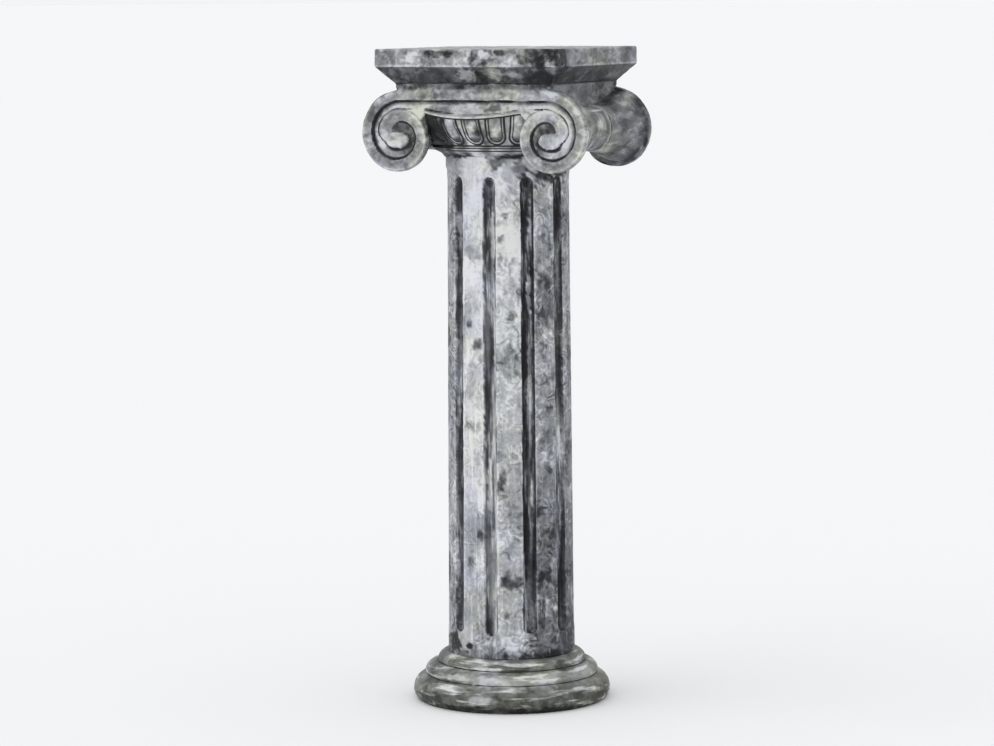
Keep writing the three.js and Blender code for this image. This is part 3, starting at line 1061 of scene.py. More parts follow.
@dataclass
class Shaft:
    """Fluted drum with a plain neck, made by a rule in Geometry Nodes.

    The tones of the flutes and of the fillets between them go round from the left limb.
    """

    paint: bpy.types.Material
    foot: float = 74.5
    top: float = 838.0
    foot_radius: float = 97.9
    top_radius: float = 93.5
    neck_radius: float = 95.5
    neck_foot: float = 818.0
    flutes: int = 10
    turn: float = 6.0
    flute_width: float = 20.0
    flute_depth: float = 9.0
    flute_foot: float = 112.0
    flute_top: float = 807.0
    columns: int = 360
    rows: int = 216
    crowding: float = 0.6
    waviness: float = 1.6
    end_waviness: float = 12.0
    seed: float = 4.0
    flute_tones: tuple = (0.4, 0.42, 0.58, 0.3, 0.24, 0.36, 0.3, 0.4, 0.32, 0.38)
    # the fillets towards the right get darker tones, partly the paint's own and partly painted shade on the
    # side turned from the light
    fillet_tones: tuple = (0.6, 0.62, 0.88, 0.86, 0.64, 0.5, 0.64, 0.82, 0.6, 0.74)
    bright_fillet: float = -12.0
    second_fillet: float = 24.0
    right_limb: float = 96.0
    patch_radius: float = 95.0
    flute_patch_radius: float = 90.0
    flute_patch_limit: float = 8.0
    hidden_patches: int = 46
    hidden_tones: tuple = (0.15, 0.35, 0.7, 0.95)
    hidden_levels: tuple = (95.0, 815.0)
    hidden_azimuths: tuple = (118.0, 296.0)
    hidden_half_widths: tuple = (7.0, 16.0)
    hidden_half_heights: tuple = (8.0, 30.0)
    least_weight: float = 1e-9

    @property
    def pitch(self) -> float:
        """Degrees from one flute to the next."""
        return 360 / self.flutes

    def rule(self) -> bpy.types.NodeTree:
        """Geometry Nodes tree that turns a plain cylinder into the fluted drum.

        Returns:
            The tree.
        """
        inputs = {
            "Columns": self.columns,
            "Rows": self.rows,
            "Foot": self.foot,
            "Top": self.top,
            "Foot Radius": self.foot_radius,
            "Top Radius": self.top_radius,
            "Neck Radius": self.neck_radius,
            "Neck Foot": self.neck_foot,
            "Flutes": float(self.flutes),
            "Turn": self.turn,
            "Flute Width": self.flute_width,
            "Flute Depth": self.flute_depth,
            "Flute Foot": self.flute_foot,
            "Flute Top": self.flute_top,
            "Waviness": self.waviness,
            "End Waviness": self.end_waviness,
            "Seed": self.seed,
            "Material": "NodeSocketMaterial",
        }
        sheet, given = NodeSheet.group("fluted_drum", "GeometryNodeTree", inputs, ("Geometry", GEOMETRY))
        sides = {"Vertices": given["Columns"], "Side Segments": given["Rows"], "Radius": 1.0, "Depth": 1.0}
        drum = sheet.add("GeometryNodeMeshCylinder", sides, fill_type="TRIANGLE_FAN")
        x, y, z = sheet.split(sheet.add("GeometryNodeInputPosition"))
        angle = sheet.math("ARCTAN2", x, y * -1.0)
        rim = sheet.math("SQRT", x * x + y * y)
        share = z + 0.5
        crowded = share - sheet.math("SINE", share * FULL_TURN) * (self.crowding / FULL_TURN)
        height = given["Top"] - given["Foot"]
        level = given["Foot"] + height * crowded

        slimming = (given["Top Radius"] - given["Foot Radius"]) * ((level - given["Foot"]) / height)
        body = given["Foot Radius"] + slimming
        in_neck = sheet.step(level, given["Neck Foot"] - 3.0, given["Neck Foot"] + 3.0)
        plain = body + (given["Neck Radius"] - body) * in_neck

        drift = sheet.noise(sheet.join(x, y, level * 0.012), 2.2, given["Seed"], 2.0) - 0.5
        pitch = FULL_TURN / given["Flutes"]
        count = (angle - sheet.math("RADIANS", given["Turn"])) / pitch
        local = sheet.math("FRACT", count + 10.5) - 0.5
        half_width = given["Flute Width"] * 0.5
        across = (local * pitch * plain + drift * given["Waviness"]) / half_width

        end_noise = sheet.noise(sheet.join(x, y, 0.0), 1.7, given["Seed"] + 3.0, 1.0)
        end_drift = (end_noise - 0.5) * given["End Waviness"]
        below = given["Flute Foot"] + half_width + end_drift - level
        above = level - (given["Flute Top"] - half_width)
        past = sheet.math("MAXIMUM", sheet.math("MAXIMUM", below, above), 0.0) / half_width
        squares = across * across + past * past
        edge = sheet.math("SQRT", squares)
        cut = given["Flute Depth"] * sheet.math("SQRT", sheet.math("MAXIMUM", 1.0 - squares, 0.0))
        rounding = sheet.step(edge, 1.35, 0.95) * 0.7
        dents = sheet.noise(sheet.join(x, y, level * 0.01), 9.0, given["Seed"], 3.0, 0.6) * 0.9
        reach = (plain - cut - rounding - dents) * rim * MM
        sine, cosine = sheet.math("SINE", angle), sheet.math("COSINE", angle)
        place = sheet.join(sine * reach, cosine * (reach * -1.0), level * MM)
        mask = {"Geometry": drum, "Name": "edge", "Value": edge}
        marked = sheet.add("GeometryNodeStoreNamedAttribute", mask, data_type="FLOAT", domain="POINT")
        moved = sheet.add("GeometryNodeSetPosition", {"Geometry": marked, "Position": place})
        return sheet.give_dressed(moved, given["Material"])

    def guessed_patches(self) -> list[Patch]:
        """Patches round the back, where the photograph shows nothing.

        Returns:
            The patches.
        """
        dice = np.random.default_rng(23)
        made = []
        for _ in range(self.hidden_patches):
            tone = float(dice.choice(self.hidden_tones))
            level = dice.uniform(*self.hidden_levels)
            azimuth = dice.uniform(*self.hidden_azimuths)
            half_width = dice.uniform(*self.hidden_half_widths)
            half_height = dice.uniform(*self.hidden_half_heights)
            made.append(Patch(azimuth, level, half_width, half_height, tone))
        return made

    def spread_tones(self, azimuths: Array, tones: tuple, first: float, width: float) -> Array:
        """Tones given one pitch of the flutes apart, spread over all azimuths.

        Args:
            azimuths: Azimuth of each point.
            tones: The tones.
            first: Azimuth of the first one.
            width: How far each one reaches, in degrees.

        Returns:
            A tone for each point.
        """
        total = np.zeros(len(azimuths))
        weight = np.zeros(len(azimuths))
        for index, value in enumerate(tones):
            near = bell(unlike(azimuths, first + index * self.pitch), width) + self.least_weight
            total += near * value
            weight += near
        return total / weight

    def fillet_tone(self, points: Array, azimuths: Array) -> Array:
        """Tone outside the flutes, before the patches.

        Args:
            points: Places of the corners.
            azimuths: Their azimuths.

        Returns:
            A tone for each corner.
        """
        levels = points[:, 2]
        low = 1 - smooth(levels, 280, 420)
        tone = self.spread_tones(azimuths, self.fillet_tones, self.turn - 2.5 * self.pitch, 17.0)
        tone += 0.06 * wobble(points * [1, 1, 0.5], 60, 21)
        tone -= 0.17 * smooth(azimuths, 12, 22) * low * (azimuths < 120)
        tone -= 0.1 * smooth(azimuths, -30, -14) * low * (azimuths < 10)
        tone += 0.07 * smooth(levels, 480, 600) * smooth(azimuths, 8, 20) * (azimuths < 80)
        tone += 0.1 * smooth(levels, 300, 400) * bell(unlike(azimuths, self.bright_fillet), 16.0)
        tone += 0.1 * bell(unlike(azimuths, self.right_limb), 12.0)
        return tone

    def flute_tone(self, points: Array, azimuths: Array, across: Array) -> Array:
        """Tone inside the flutes, with a painted highlight on their right walls, before the patches.

        Args:
            points: Places of the corners.
            azimuths: Their azimuths.
            across: How far each is from the middle of its flute, in degrees.

        Returns:
            A tone for each corner.
        """
        drawn_out = points * [1, 1, 0.06]
        strokes = wobble(drawn_out, 9, 26, 9) + 0.5 * wobble(drawn_out, 4, 27, 9)
        tone = self.spread_tones(azimuths, self.flute_tones, self.turn - 2 * self.pitch, 12.0)
        tone += 0.13 * strokes + 0.1 * wobble(points * [1, 1, 0.4], 50, 22)
        # painted highlight on each flute's right wall, which faces the light, broken by gaps
        right_wall = smooth(across + 0.8 * wobble(points * [1, 1, 0.2], 40, 29), -1.2, 2.0)
        gaps = smooth(wobble(points * [1, 1, 0.15], 30, 28), -0.4, 0.7)
        return tone + 0.4 * right_wall * gaps

    def dark_lines(self, points: Array, edge: Array, across: Array) -> Array:
        """Painted shade along the flutes' edges, and painted shadow in the seam below the capital and at the
        foot.

        Args:
            points: Places of the corners.
            edge: Distance from the middle of a flute, 1 at its edge.
            across: How far each is from the middle of its flute, in degrees.

        Returns:
            How far the painted shade darkens each corner.
        """
        levels = points[:, 2]
        # painted shade along the flutes' edges, stronger and broken on their right-hand edges
        groove = 0.3 * bell(edge - 0.9, 0.14)
        broken = smooth(wobble(points * [1, 1, 0.12], 24, 32), -0.2, 0.8)
        groove += 0.5 * bell(edge - 1.0, 0.12) * (across > 0) * broken
        groove *= (levels > self.flute_foot - 12) * (levels < self.flute_top - 1)
        # painted shadow in the seam below the capital's cup, and painted shade where the shaft meets the base
        rough = roughness(points)
        seam = 0.6 * smooth(levels, self.top - 7, self.top - 1) * smooth(rough, -1.2, 0.8)
        foot = 0.4 * (1 - smooth(levels, self.foot - 0.5, self.foot + 2.5)) * smooth(rough, -1.0, 0.8)
        return np.maximum(groove, np.maximum(seam, foot))

    def build(self) -> None:
        """Makes the shaft."""
        mesh = carve("shaft_drum", self.rule(), {"Material": self.paint})
        points = points_of(mesh)
        edge = np.empty(len(points), dtype=np.float32)
        mesh.attributes["edge"].data.foreach_get("value", edge)
        mesh.attributes.remove(mesh.attributes["edge"])
        azimuths, levels = azimuth_of(points), points[:, 2]
        across = (azimuths - self.turn + self.pitch / 2) % self.pitch - self.pitch / 2

        ragged = raggedness(points, 83)
        painter = PatchPainter(azimuths, levels, ragged, self.patch_radius)
        tone = painter.paint(self.fillet_tone(points, azimuths), [*SHAFT_PATCHES, *self.guessed_patches()])
        painter = PatchPainter(azimuths, levels, ragged, self.flute_patch_radius)
        narrow = [patch for patch in SHAFT_PATCHES if Patch(*patch).half_width < self.flute_patch_limit]
        flute_tone = painter.paint(self.flute_tone(points, azimuths, across), narrow)
        spilt = 0.12 * wobble(points * [1, 1, 0.35], 16, 31) + 0.06 * wobble(points * [1, 1, 0.5], 6, 35)
        inside = 1 - smooth(edge + spilt, 0.9, 1.04)
        tone = over(tone, inside, flute_tone)
        # painted shadow darkening the shaft's foot, just above the base
        foot = 1 - smooth(levels + 7 * wobble(points, 26, 30), self.foot + 3.5, self.foot + 15.5)
        tone *= 1 - 0.34 * foot

        calm = bell(unlike(azimuths, self.bright_fillet), 15.0)
        less_calm = bell(unlike(azimuths, self.second_fillet), 10.0)
        neck = smooth(levels, self.flute_top - 11, self.flute_top + 5)
        busy = (1.0 - 0.5 * calm - 0.65 * inside - 0.12 * less_calm) * (1 - 0.45 * neck)
        stroke = (0.3 + 0.2 * calm + 0.8 * inside) * (1 - 0.9 * neck)
        groove = self.dark_lines(points, edge, across)
        # painted highlight along the edges of the flutes
        ridge = bell(edge - 1.14, 0.12) * 0.4
        write_masks(mesh, tone=tone, groove=groove, ridge=ridge, busy=busy, stroke=stroke)
        Piece("shaft_drum", "shaft", mesh).finish(self.paint)


# The capital


@dataclass
class Volute:
    """Rule of the band that runs across a face of the capital and rolls up into its two volutes."""

    centre_x: float = 123.6
    centre_z: float = 869.6
    band_top: float = 938.0
    start_width: float = 15.0
    full_width: float = 18.5
    widening_turns: float = 0.5
    band_turns: float = 1.44
    plate_turns: float = 0.84
    turn_shrink: float = 28.5
    curl_start: float = 1.2
    curl_turns: float = 0.15
    curl_drop: float = 9.0
    inner_curl_shrink: float = 47.0
    eye: tuple = (2.5, -6.5)
    eye_radii: tuple = (19.0, 12.5)
    canalis_half_width: float = 76.0
    canalis_middle: float = 896.0
    canalis_side: float = 905.0
    neck_half: float = 127.5
    neck_top: float = 948.5
    depth: float = 5.0
    shallow_depth: float = 1.1
    lead_in_slope: float = -0.02

    @property
    def band_foot(self) -> float:
        """Level of the band's lower edge where it runs straight."""
        return self.band_top - self.start_width

    def outer(self, turns: Array) -> Array:
        """Outer edge of the band: its distance from the centre after a number of turns."""
        curl = smooth(turns, self.curl_start, self.curl_start + self.curl_turns)
        return self.band_top - self.centre_z - self.turn_shrink * turns - self.curl_drop * curl

    def inner(self, turns: Array) -> Array:
        """Inner edge of the band, which is also the edge of the channel.

        Args:
            turns: Numbers of turns.

        Returns:
            Its distance from the centre after each one.
        """
        widening = np.minimum(1.0, turns / self.widening_turns)
        width = self.start_width + (self.full_width - self.start_width) * widening
        whole = np.minimum(1.0, turns)
        return self.outer(whole) - width - self.inner_curl_shrink * (turns - whole)

    def sag(self, across: Array) -> Array:
        """How far a line that sags towards the middle of the face has risen, from 0 to 1."""
        return np.minimum(1.0, np.abs(across) / self.canalis_half_width) ** 2

    def relief(self, across: Array, level: Array) -> tuple[Array, Array, Array]:
        """Carving of the face.

        Args:
            across: Sideways place of each point, from the middle of the face.
            level: Level of each point.

        Returns:
            Height over the band's face, how far painted shade darkens its grooves, and how much painted
            light and shade lighten or darken it, each for every point.
        """
        x, z = np.abs(across) - self.centre_x, level - self.centre_z
        radius = np.hypot(x, z)
        turn = (np.arctan2(x, z) / FULL_TURN) % 1.0
        outer_first, inner_first = self.outer(turn), self.inner(turn)
        outer_second, inner_second = self.outer(turn + 1), self.inner(turn + 1)
        rolled = radius < inner_first
        in_first = np.minimum(outer_first - radius, radius - inner_first)
        in_second = np.minimum(outer_second - radius, radius - inner_second)
        in_second = np.where(turn < self.band_turns - 1, in_second, -FAR)
        eye_place = np.hypot((x - self.eye[0]) / self.eye_radii[0], (z - self.eye[1]) / self.eye_radii[1])
        in_eye = (1 - eye_place) * self.eye_radii[1]
        straight_foot = self.band_foot - self.centre_z
        in_straight = np.where(x < 0, z - straight_foot, -FAR)
        raised = np.maximum(np.maximum(in_first, in_second), np.maximum(in_eye, in_straight))
        channel = smooth(-raised, 0.0, 0.9)
        face = 1 - channel

        outside = (x < 0) & (z > 0) & (radius > outer_first)
        to_first = np.where(outside, straight_foot - z, inner_first - radius)
        second_edge = np.where(turn < 0.5, radius - outer_second, FAR)
        lead_in = z - self.outer(np.ones(1))[0] + self.lead_in_slope * x
        second_edge = np.where(outside & (x > -40), lead_in, second_edge)
        to_second = np.minimum(second_edge, np.where(in_eye < 0, -in_eye, FAR))

        pocket = smooth(turn, 0.58, 0.72) * rolled + (turn < 0.2) * (radius < inner_second)
        crescent = smooth(turn, 0.28, 0.4) * rolled
        wall = 1 - smooth(to_first, 0.0, 12.0)
        deep = np.maximum(wall, np.maximum(pocket, 0.75 * crescent))
        floor = self.shallow_depth + (self.depth - self.shallow_depth) * deep
        top = (1 - np.clip(raised / 2.0, 0, 1)) ** 2
        dish = 0.35 * bell(in_first - 9.0, 5.0)
        height = -(floor * channel + (top + dish) * face)
        height -= bell(to_second - 0.7, 0.9) * channel

        # painted shade in the grooves and in the crescent under the eye
        line_width = 2.2 + 0.7 * smooth(turn, 0.12, 0.3) - 0.9 * smooth(turn, 0.4, 0.56)
        faded = (across < 0) * smooth(turn, 0.04, 0.1) * (1 - smooth(turn, 0.4, 0.5)) * (radius > inner_first)
        second_line = (0.75 - 0.6 * faded) * bell(to_second - 0.8, 1.4)
        groove = np.maximum(bell(to_first - 1.1, line_width), second_line) * (raised < 0.6)
        under_eye = smooth(turn, 0.3, 0.42) * (1 - smooth(turn, 0.66, 0.74)) * rolled
        groove = np.maximum(groove, under_eye * channel * bell(to_second - 1.2, 3.4))

        # painted light and shade of the carving: shade on the channel's outer wall, in the pocket and left of
        # the eye, light on its inner side, the eye lit below and shaded above, bands lit along their outer
        # edges and shaded along their inner ones
        open_channel = channel * (1 - np.maximum(pocket, crescent))
        left_of_eye = smooth(turn, 0.5, 0.62) * rolled * (1 - pocket)
        shade = 0.24 * open_channel * smooth(to_first, 6.0, 9.0)
        shade -= 0.36 * open_channel * (1 - smooth(to_first, 1.5, 8.5))
        shade -= channel * (0.5 * pocket + 0.35 * left_of_eye)
        shade += 0.15 * channel * crescent * (1 - left_of_eye) * bell(to_first - 4.0, 2.4)
        shade += 0.12 * smooth(in_eye, 0, 5) * (z < 2) - 0.12 * smooth(in_eye, 0, 3) * smooth(z, -4, 4)
        shade -= 0.14 * bell(in_first, 1.6) * face
        light, dark = bell(outer_first - radius - 3.5, 2.2), bell(radius - inner_first - 4.5, 3.0)
        shade += face * (in_first > 0) * (0.12 * light - 0.12 * dark)
        light, dark = bell(outer_second - radius - 3.0, 2.0), bell(radius - inner_second - 4.0, 3.0)
        shade += face * (in_second > 0) * rolled * (0.14 * light - 0.12 * dark)
        return height, groove, shade

    def spiral(self, edge: Array, turns: Array) -> Array:
        """Points of the right-hand volute at these distances from its centre, after these turns."""
        angle = turns * FULL_TURN
        return np.stack([self.centre_x + edge * np.sin(angle), self.centre_z + edge * np.cos(angle)], axis=1)

    def outline(self, spacing: float) -> Array:
        """Edge of the whole face, anticlockwise as the front shows it, from the right-hand volute's top.

        Args:
            spacing: Distance between its points.

        Returns:
            Points as pairs of place across and level.
        """
        turns = np.linspace(0.0091, self.plate_turns, 260)
        right = self.spiral(self.outer(turns), turns)
        across = np.linspace(self.canalis_half_width, -self.canalis_half_width, 90)
        level = self.canalis_middle + (self.canalis_side - self.canalis_middle) * self.sag(across)
        neck = np.array([[-self.neck_half, self.neck_top], [self.neck_half, self.neck_top]])
        path = np.vstack([right, np.stack([across, level], axis=1), right[::-1] * [-1, 1], neck])
        closed = np.vstack([path, path[:1]])
        lengths = np.concatenate([[0], np.cumsum(np.hypot(*np.diff(closed, axis=0).T))])
        marks = np.linspace(0, lengths[-1], int(lengths[-1] / spacing), endpoint=False)
        return np.stack([np.interp(marks, lengths, closed[:, k]) for k in (0, 1)], axis=1)


FACE_PATCHES = (
    (0, 931, 150, 9, 0.66),
    (-100, 931, 12, 6, 0.84),
    (-23, 930, 16, 6, 0.88),
    (27, 929, 24, 6, 0.9),
    (84, 929, 20, 7, 0.8),
    (-172, 896, 22, 44, 0.58),
    (-158, 836, 30, 18, 0.64),
    (-118, 828, 18, 12, 0.76),
    (126, 822, 40, 10, 0.6),
    (172, 872, 12, 26, 0.72),
    (-62, 908, 34, 8, 0.56),
    (-8, 912, 26, 7, 0.92),
    (34, 912, 26, 6, 0.5),
)


@dataclass
class FacePlate:
    """Front and back face of the capital: two volutes and the canalis between them, in one plate."""

    paint: bpy.types.Material
    volute: Volute = field(default_factory=Volute)
    face: float = 127.5
    half_width: float = 185.0
    lowest: float = 815.5
    wall_depths: tuple = (119.0, 114.5, 112.5)
    back_inset: float = 1.5
    spacing: float = 1.4
    rounding: float = 2.6
    filler: float = 2.3
    filled_box: tuple = ((-186, 187), (814, 949))
    smallest_gap: float = 0.62
    neck_foot: float = 936.0
    points_at_once: int = 4000
    rounding_rows: tuple = (0.5, 1.2, 2.0, 3.0)
    line_offsets: tuple = (-3.6, -2.4, -1.5, -0.8, 0.0, 0.8, 1.6, 2.6)
    cup_line_middle: float = 901.6
    cup_line_rise: float = 7.6
    canalis_reach: float = 100.0
    wall_edge: tuple = (115.0, 121.0)

    def feature_lines(self) -> Array:
        """Points along both edges of the band, so that faces follow its grooves.

        Returns:
            The points of both volutes.
        """
        rule = self.volute
        inner, outer = np.linspace(0.0, 1.13, 330), np.linspace(0.86, 1.62, 190)
        across = np.arange(0.5, rule.centre_x, 1.6)
        rows = []
        for turns, edge in ((inner, rule.inner(inner)), (outer, rule.outer(outer))):
            rows += [rule.spiral(np.maximum(edge + offset, 0.5), turns) for offset in self.line_offsets]
        for offset in self.line_offsets:
            rows.append(np.stack([across, np.full(len(across), rule.band_foot + offset)], axis=1))
        return np.vstack(rows + [row * [-1, 1] for row in rows])

    @staticmethod
    def inside(edge: Array, points: Array) -> Array:
        """Finds the points inside an outline.

        Args:
            edge: The outline.
            points: The points.

        Returns:
            Whether each one is inside.
        """
        result = np.zeros(len(points), dtype=bool)
        for start, end in zip(edge, np.roll(edge, -1, axis=0)):
            crossing = (start[1] > points[:, 1]) != (end[1] > points[:, 1])
            slope = (end[0] - start[0]) / (end[1] - start[1] + 1e-12)
            result ^= crossing & (points[:, 0] < start[0] + slope * (points[:, 1] - start[1]))
        return result

    def scattered(self, edge: Array) -> Array:
        """Points of the face, none too near another.

        Args:
            edge: The outline.

        Returns:
            The edge first, then the rows of its rounding, the feature lines, and filling between them.
        """
        rings = np.vstack([self.pulled_in(edge, distance) for distance in self.rounding_rows])
        sides = [np.arange(start, end, self.filler) for start, end in self.filled_box]
        grid = np.stack(np.meshgrid(*sides), axis=2).reshape(-1, 2)
        grid[:, 0] += (np.round(grid[:, 1] / self.filler) % 2) * self.filler / 2
        wanted = np.vstack([rings, self.feature_lines(), grid])
        wanted = wanted[self.inside(edge, wanted)]
        taken = {tuple(cell) for cell in np.floor(edge / self.smallest_gap).astype(int)}
        kept = []
        for point in wanted:
            column, row = (math.floor(place / self.smallest_gap) for place in point)
            near = [(column + i, row + j) for i in (-1, 0, 1) for j in (-1, 0, 1)]
            if taken.isdisjoint(near):
                taken.add((column, row))
                kept.append(point)
        return np.vstack([edge, kept])

    def build_front(self) -> tuple[bpy.types.Mesh, Array, Array, Array]:
        """Plate at the front of the capital, closed all round.

        Returns:
            The mesh, and for each corner how far painted shade darkens its grooves, how much painted
            light and shade lighten or darken it, and how near it is to the rim.
        """
        edge = self.volute.outline(self.spacing)
        flat = [Vector(point) for point in self.scattered(edge)]
        found = delaunay_2d_cdt(flat, [], [list(range(len(edge)))], 1, 1e-4)
        places = np.array([tuple(place) for place in found[0]])
        corner_of = {source: index for index, sources in enumerate(found[3]) for source in sources}
        loop = [corner_of[index] for index in range(len(edge))]

        height, groove, shade = self.volute.relief(places[:, 0], places[:, 1])
        groove *= 0.75 + 0.25 * wobble(np.column_stack([places, places[:, 0] * 0]), 34, 75)
        groove = np.maximum(groove, self.cup_line(places))
        distance = self.edge_distance(edge, places)
        past = 1 - np.clip(distance / self.rounding, 0, 1)
        height -= self.rounding * (1 - np.sqrt(np.clip(1 - past**2, 0, 1))) * 0.9
        front = np.stack([places[:, 0], -(self.face + height), places[:, 1]], axis=1)

        rim = places[loop]
        points = [front]
        rows = [loop]
        for depth in self.wall_depths:
            ring = self.pulled_in(rim, self.back_inset if depth == self.wall_depths[-1] else 0.0)
            start = sum(len(part) for part in points)
            rows.append(list(range(start, start + len(rim))))
            points.append(np.stack([ring[:, 0], np.full(len(ring), -depth), ring[:, 1]], axis=1))
        faces = [self.facing_front(places, tuple(face)) for face in found[2]]
        for near, far in zip(rows, rows[1:]):
            for index in range(len(rim)):
                after = (index + 1) % len(rim)
                faces.append((near[index], near[after], far[after], far[index]))
        faces.append(tuple(rows[-1]))
        mesh = made_mesh("volutes_front", np.vstack(points), faces)
        unpainted = np.zeros(len(self.wall_depths) * len(rim))
        masks = (np.concatenate([mask, unpainted]) for mask in (groove, shade, bell(distance - 2.2, 1.6)))
        return mesh, *masks

    def cup_line(self, places: Array) -> Array:
        """Painted shade along the line where the cup's rim meets the plate.

        Args:
            places: Place across and level of each point.

        Returns:
            How far the painted shade darkens each point.
        """
        across, level = places.T
        line = self.cup_line_middle + self.cup_line_rise * self.volute.sag(across)
        strength = 0.5 + 0.3 * smooth(-across, 30, 70)
        half = self.volute.canalis_half_width
        ends = 1 - smooth(np.abs(across), half, half + 9)
        return strength * bell(level - line, 1.7) * ends

    @staticmethod
    def facing_front(places: Array, triangle: tuple) -> tuple:
        """Turns a triangle so that it faces the front.

        Args:
            places: Place across and level of each corner.
            triangle: The triangle's corners.

        Returns:
            Its corners, turned round where they have to be.
        """
        a, b, c = (places[index] for index in triangle)
        turned = (b[0] - a[0]) * (c[1] - a[1]) - (b[1] - a[1]) * (c[0] - a[0])
        return triangle if turned > 0 else triangle[::-1]

    @staticmethod
    def pulled_in(ring: Array, distance: float) -> Array:
        """Moves a ring of points inwards.

        Args:
            ring: The points.
            distance: How far.

        Returns:
            The moved points.
        """
        along = np.roll(ring, -1, axis=0) - np.roll(ring, 1, axis=0)
        along /= np.linalg.norm(along, axis=1)[:, None]
        return ring + np.stack([along[:, 1], -along[:, 0]], axis=1) * distance

    def edge_distance(self, edge: Array, places: Array) -> Array:
        """Distance of each place from the nearest point of the outline below the neck.

        Args:
            edge: The outline.
            places: The places, taken some at a time to spare memory.

        Returns:
            A distance for each place.
        """
        low = edge[edge[:, 1] < self.neck_foot]
        result = np.empty(len(places))
        for start in range(0, len(places), self.points_at_once):
            some = slice(start, start + self.points_at_once)
            gaps = places[some, None, :] - low[None, :, :]
            result[some] = np.sqrt((gaps**2).sum(axis=2).min(axis=1))
        return result

    def build(self) -> None:
        """Makes the front and the back face, each with its two volutes."""
        front, groove, shade, rim = self.build_front()
        for name, seed, way in (("capital_volutes_front", 61, 1), ("capital_volutes_back", 51, -1)):
            mesh = front.copy()
            mesh.name = name
            turn = [way, way, 1]
            points = points_of(mesh) * turn
            dent = 0.45 * wobble(points, 40, seed) + 0.2 * wobble(points, 10, seed + 1)
            points -= corners_of(front, "normal") * turn * (0.35 + dent)[:, None] * 0.8
            points[:, 0] = np.clip(points[:, 0], -self.half_width, self.half_width)
            points[:, 2] = np.maximum(points[:, 2], self.lowest)
            move_points(mesh, points)
            across, depth, level = points.T
            # the relief's shade is painted light and shade of the carving, added to the tone
            tone = 0.84 + shade + 0.1 * wobble(points, 36, seed + 2)
            canalis = (np.abs(across) < self.canalis_reach) & (level < self.volute.band_foot)
            tone += canalis * (0.1 * wobble(points * [1, 1, 3], 40, seed + 3) - 0.04)
            neck_tone = 0.42 + 0.14 * wobble(points * [0.5, 1, 1], 20, seed + 4)
            tone = over(tone, smooth(level, self.neck_foot, self.neck_foot + 6), neck_tone)
            ragged = raggedness(points, seed + 6)
            # the patches carry half of that painted light and shade
            painter = PatchPainter(across * way, level, ragged, fading=(0.5, 1.1), lift=0.5 * shade)
            tone = painter.paint(tone, FACE_PATCHES)
            # painted shade on the plate's side walls
            wall = 1 - smooth(np.abs(depth), *self.wall_edge)
            tone = over(tone, wall, 0.46 + 0.2 * wobble(points, 26, seed + 5))
            # painted highlight along the plate's rounded rim
            write_masks(mesh, tone=tone, groove=groove, ridge=0.3 * rim, busy=0.55)
            Piece(name, "capital", mesh).finish(self.paint)
        bpy.data.meshes.remove(front)


SLAB_FRONT_PATCHES = (
    (-128, 986, 26, 13, 0.68),
    (-84, 986, 18, 13, 0.94),
    (-44, 992, 30, 7, 0.28),
    (-46, 979, 28, 7, 0.62),
    (-4, 986, 19, 15, 0.76),
    (12, 988, 5, 14, 0.3),
    (28, 978, 11, 8, 0.34),
    (36, 991, 20, 8, 0.98),
    (48, 979, 10, 8, 0.8),
    (60, 994, 11, 5, 0.32),
    (78, 984, 19, 12, 0.86),
    (128, 986, 44, 26, 0.34),
    (-84, 960, 60, 12, 0.3),
    (-4, 961, 19, 10, 0.74),
    (22, 958, 10, 10, 0.1),
    (46, 962, 15, 12, 0.6),
    (78, 961, 18, 5, 0.52),
    (116, 959, 28, 14, 0.2),
)
SLAB_RIGHT_PATCHES = (
    (-139, 986, 15, 20, 0.08),
    (-128, 960, 24, 16, 0.04),
)


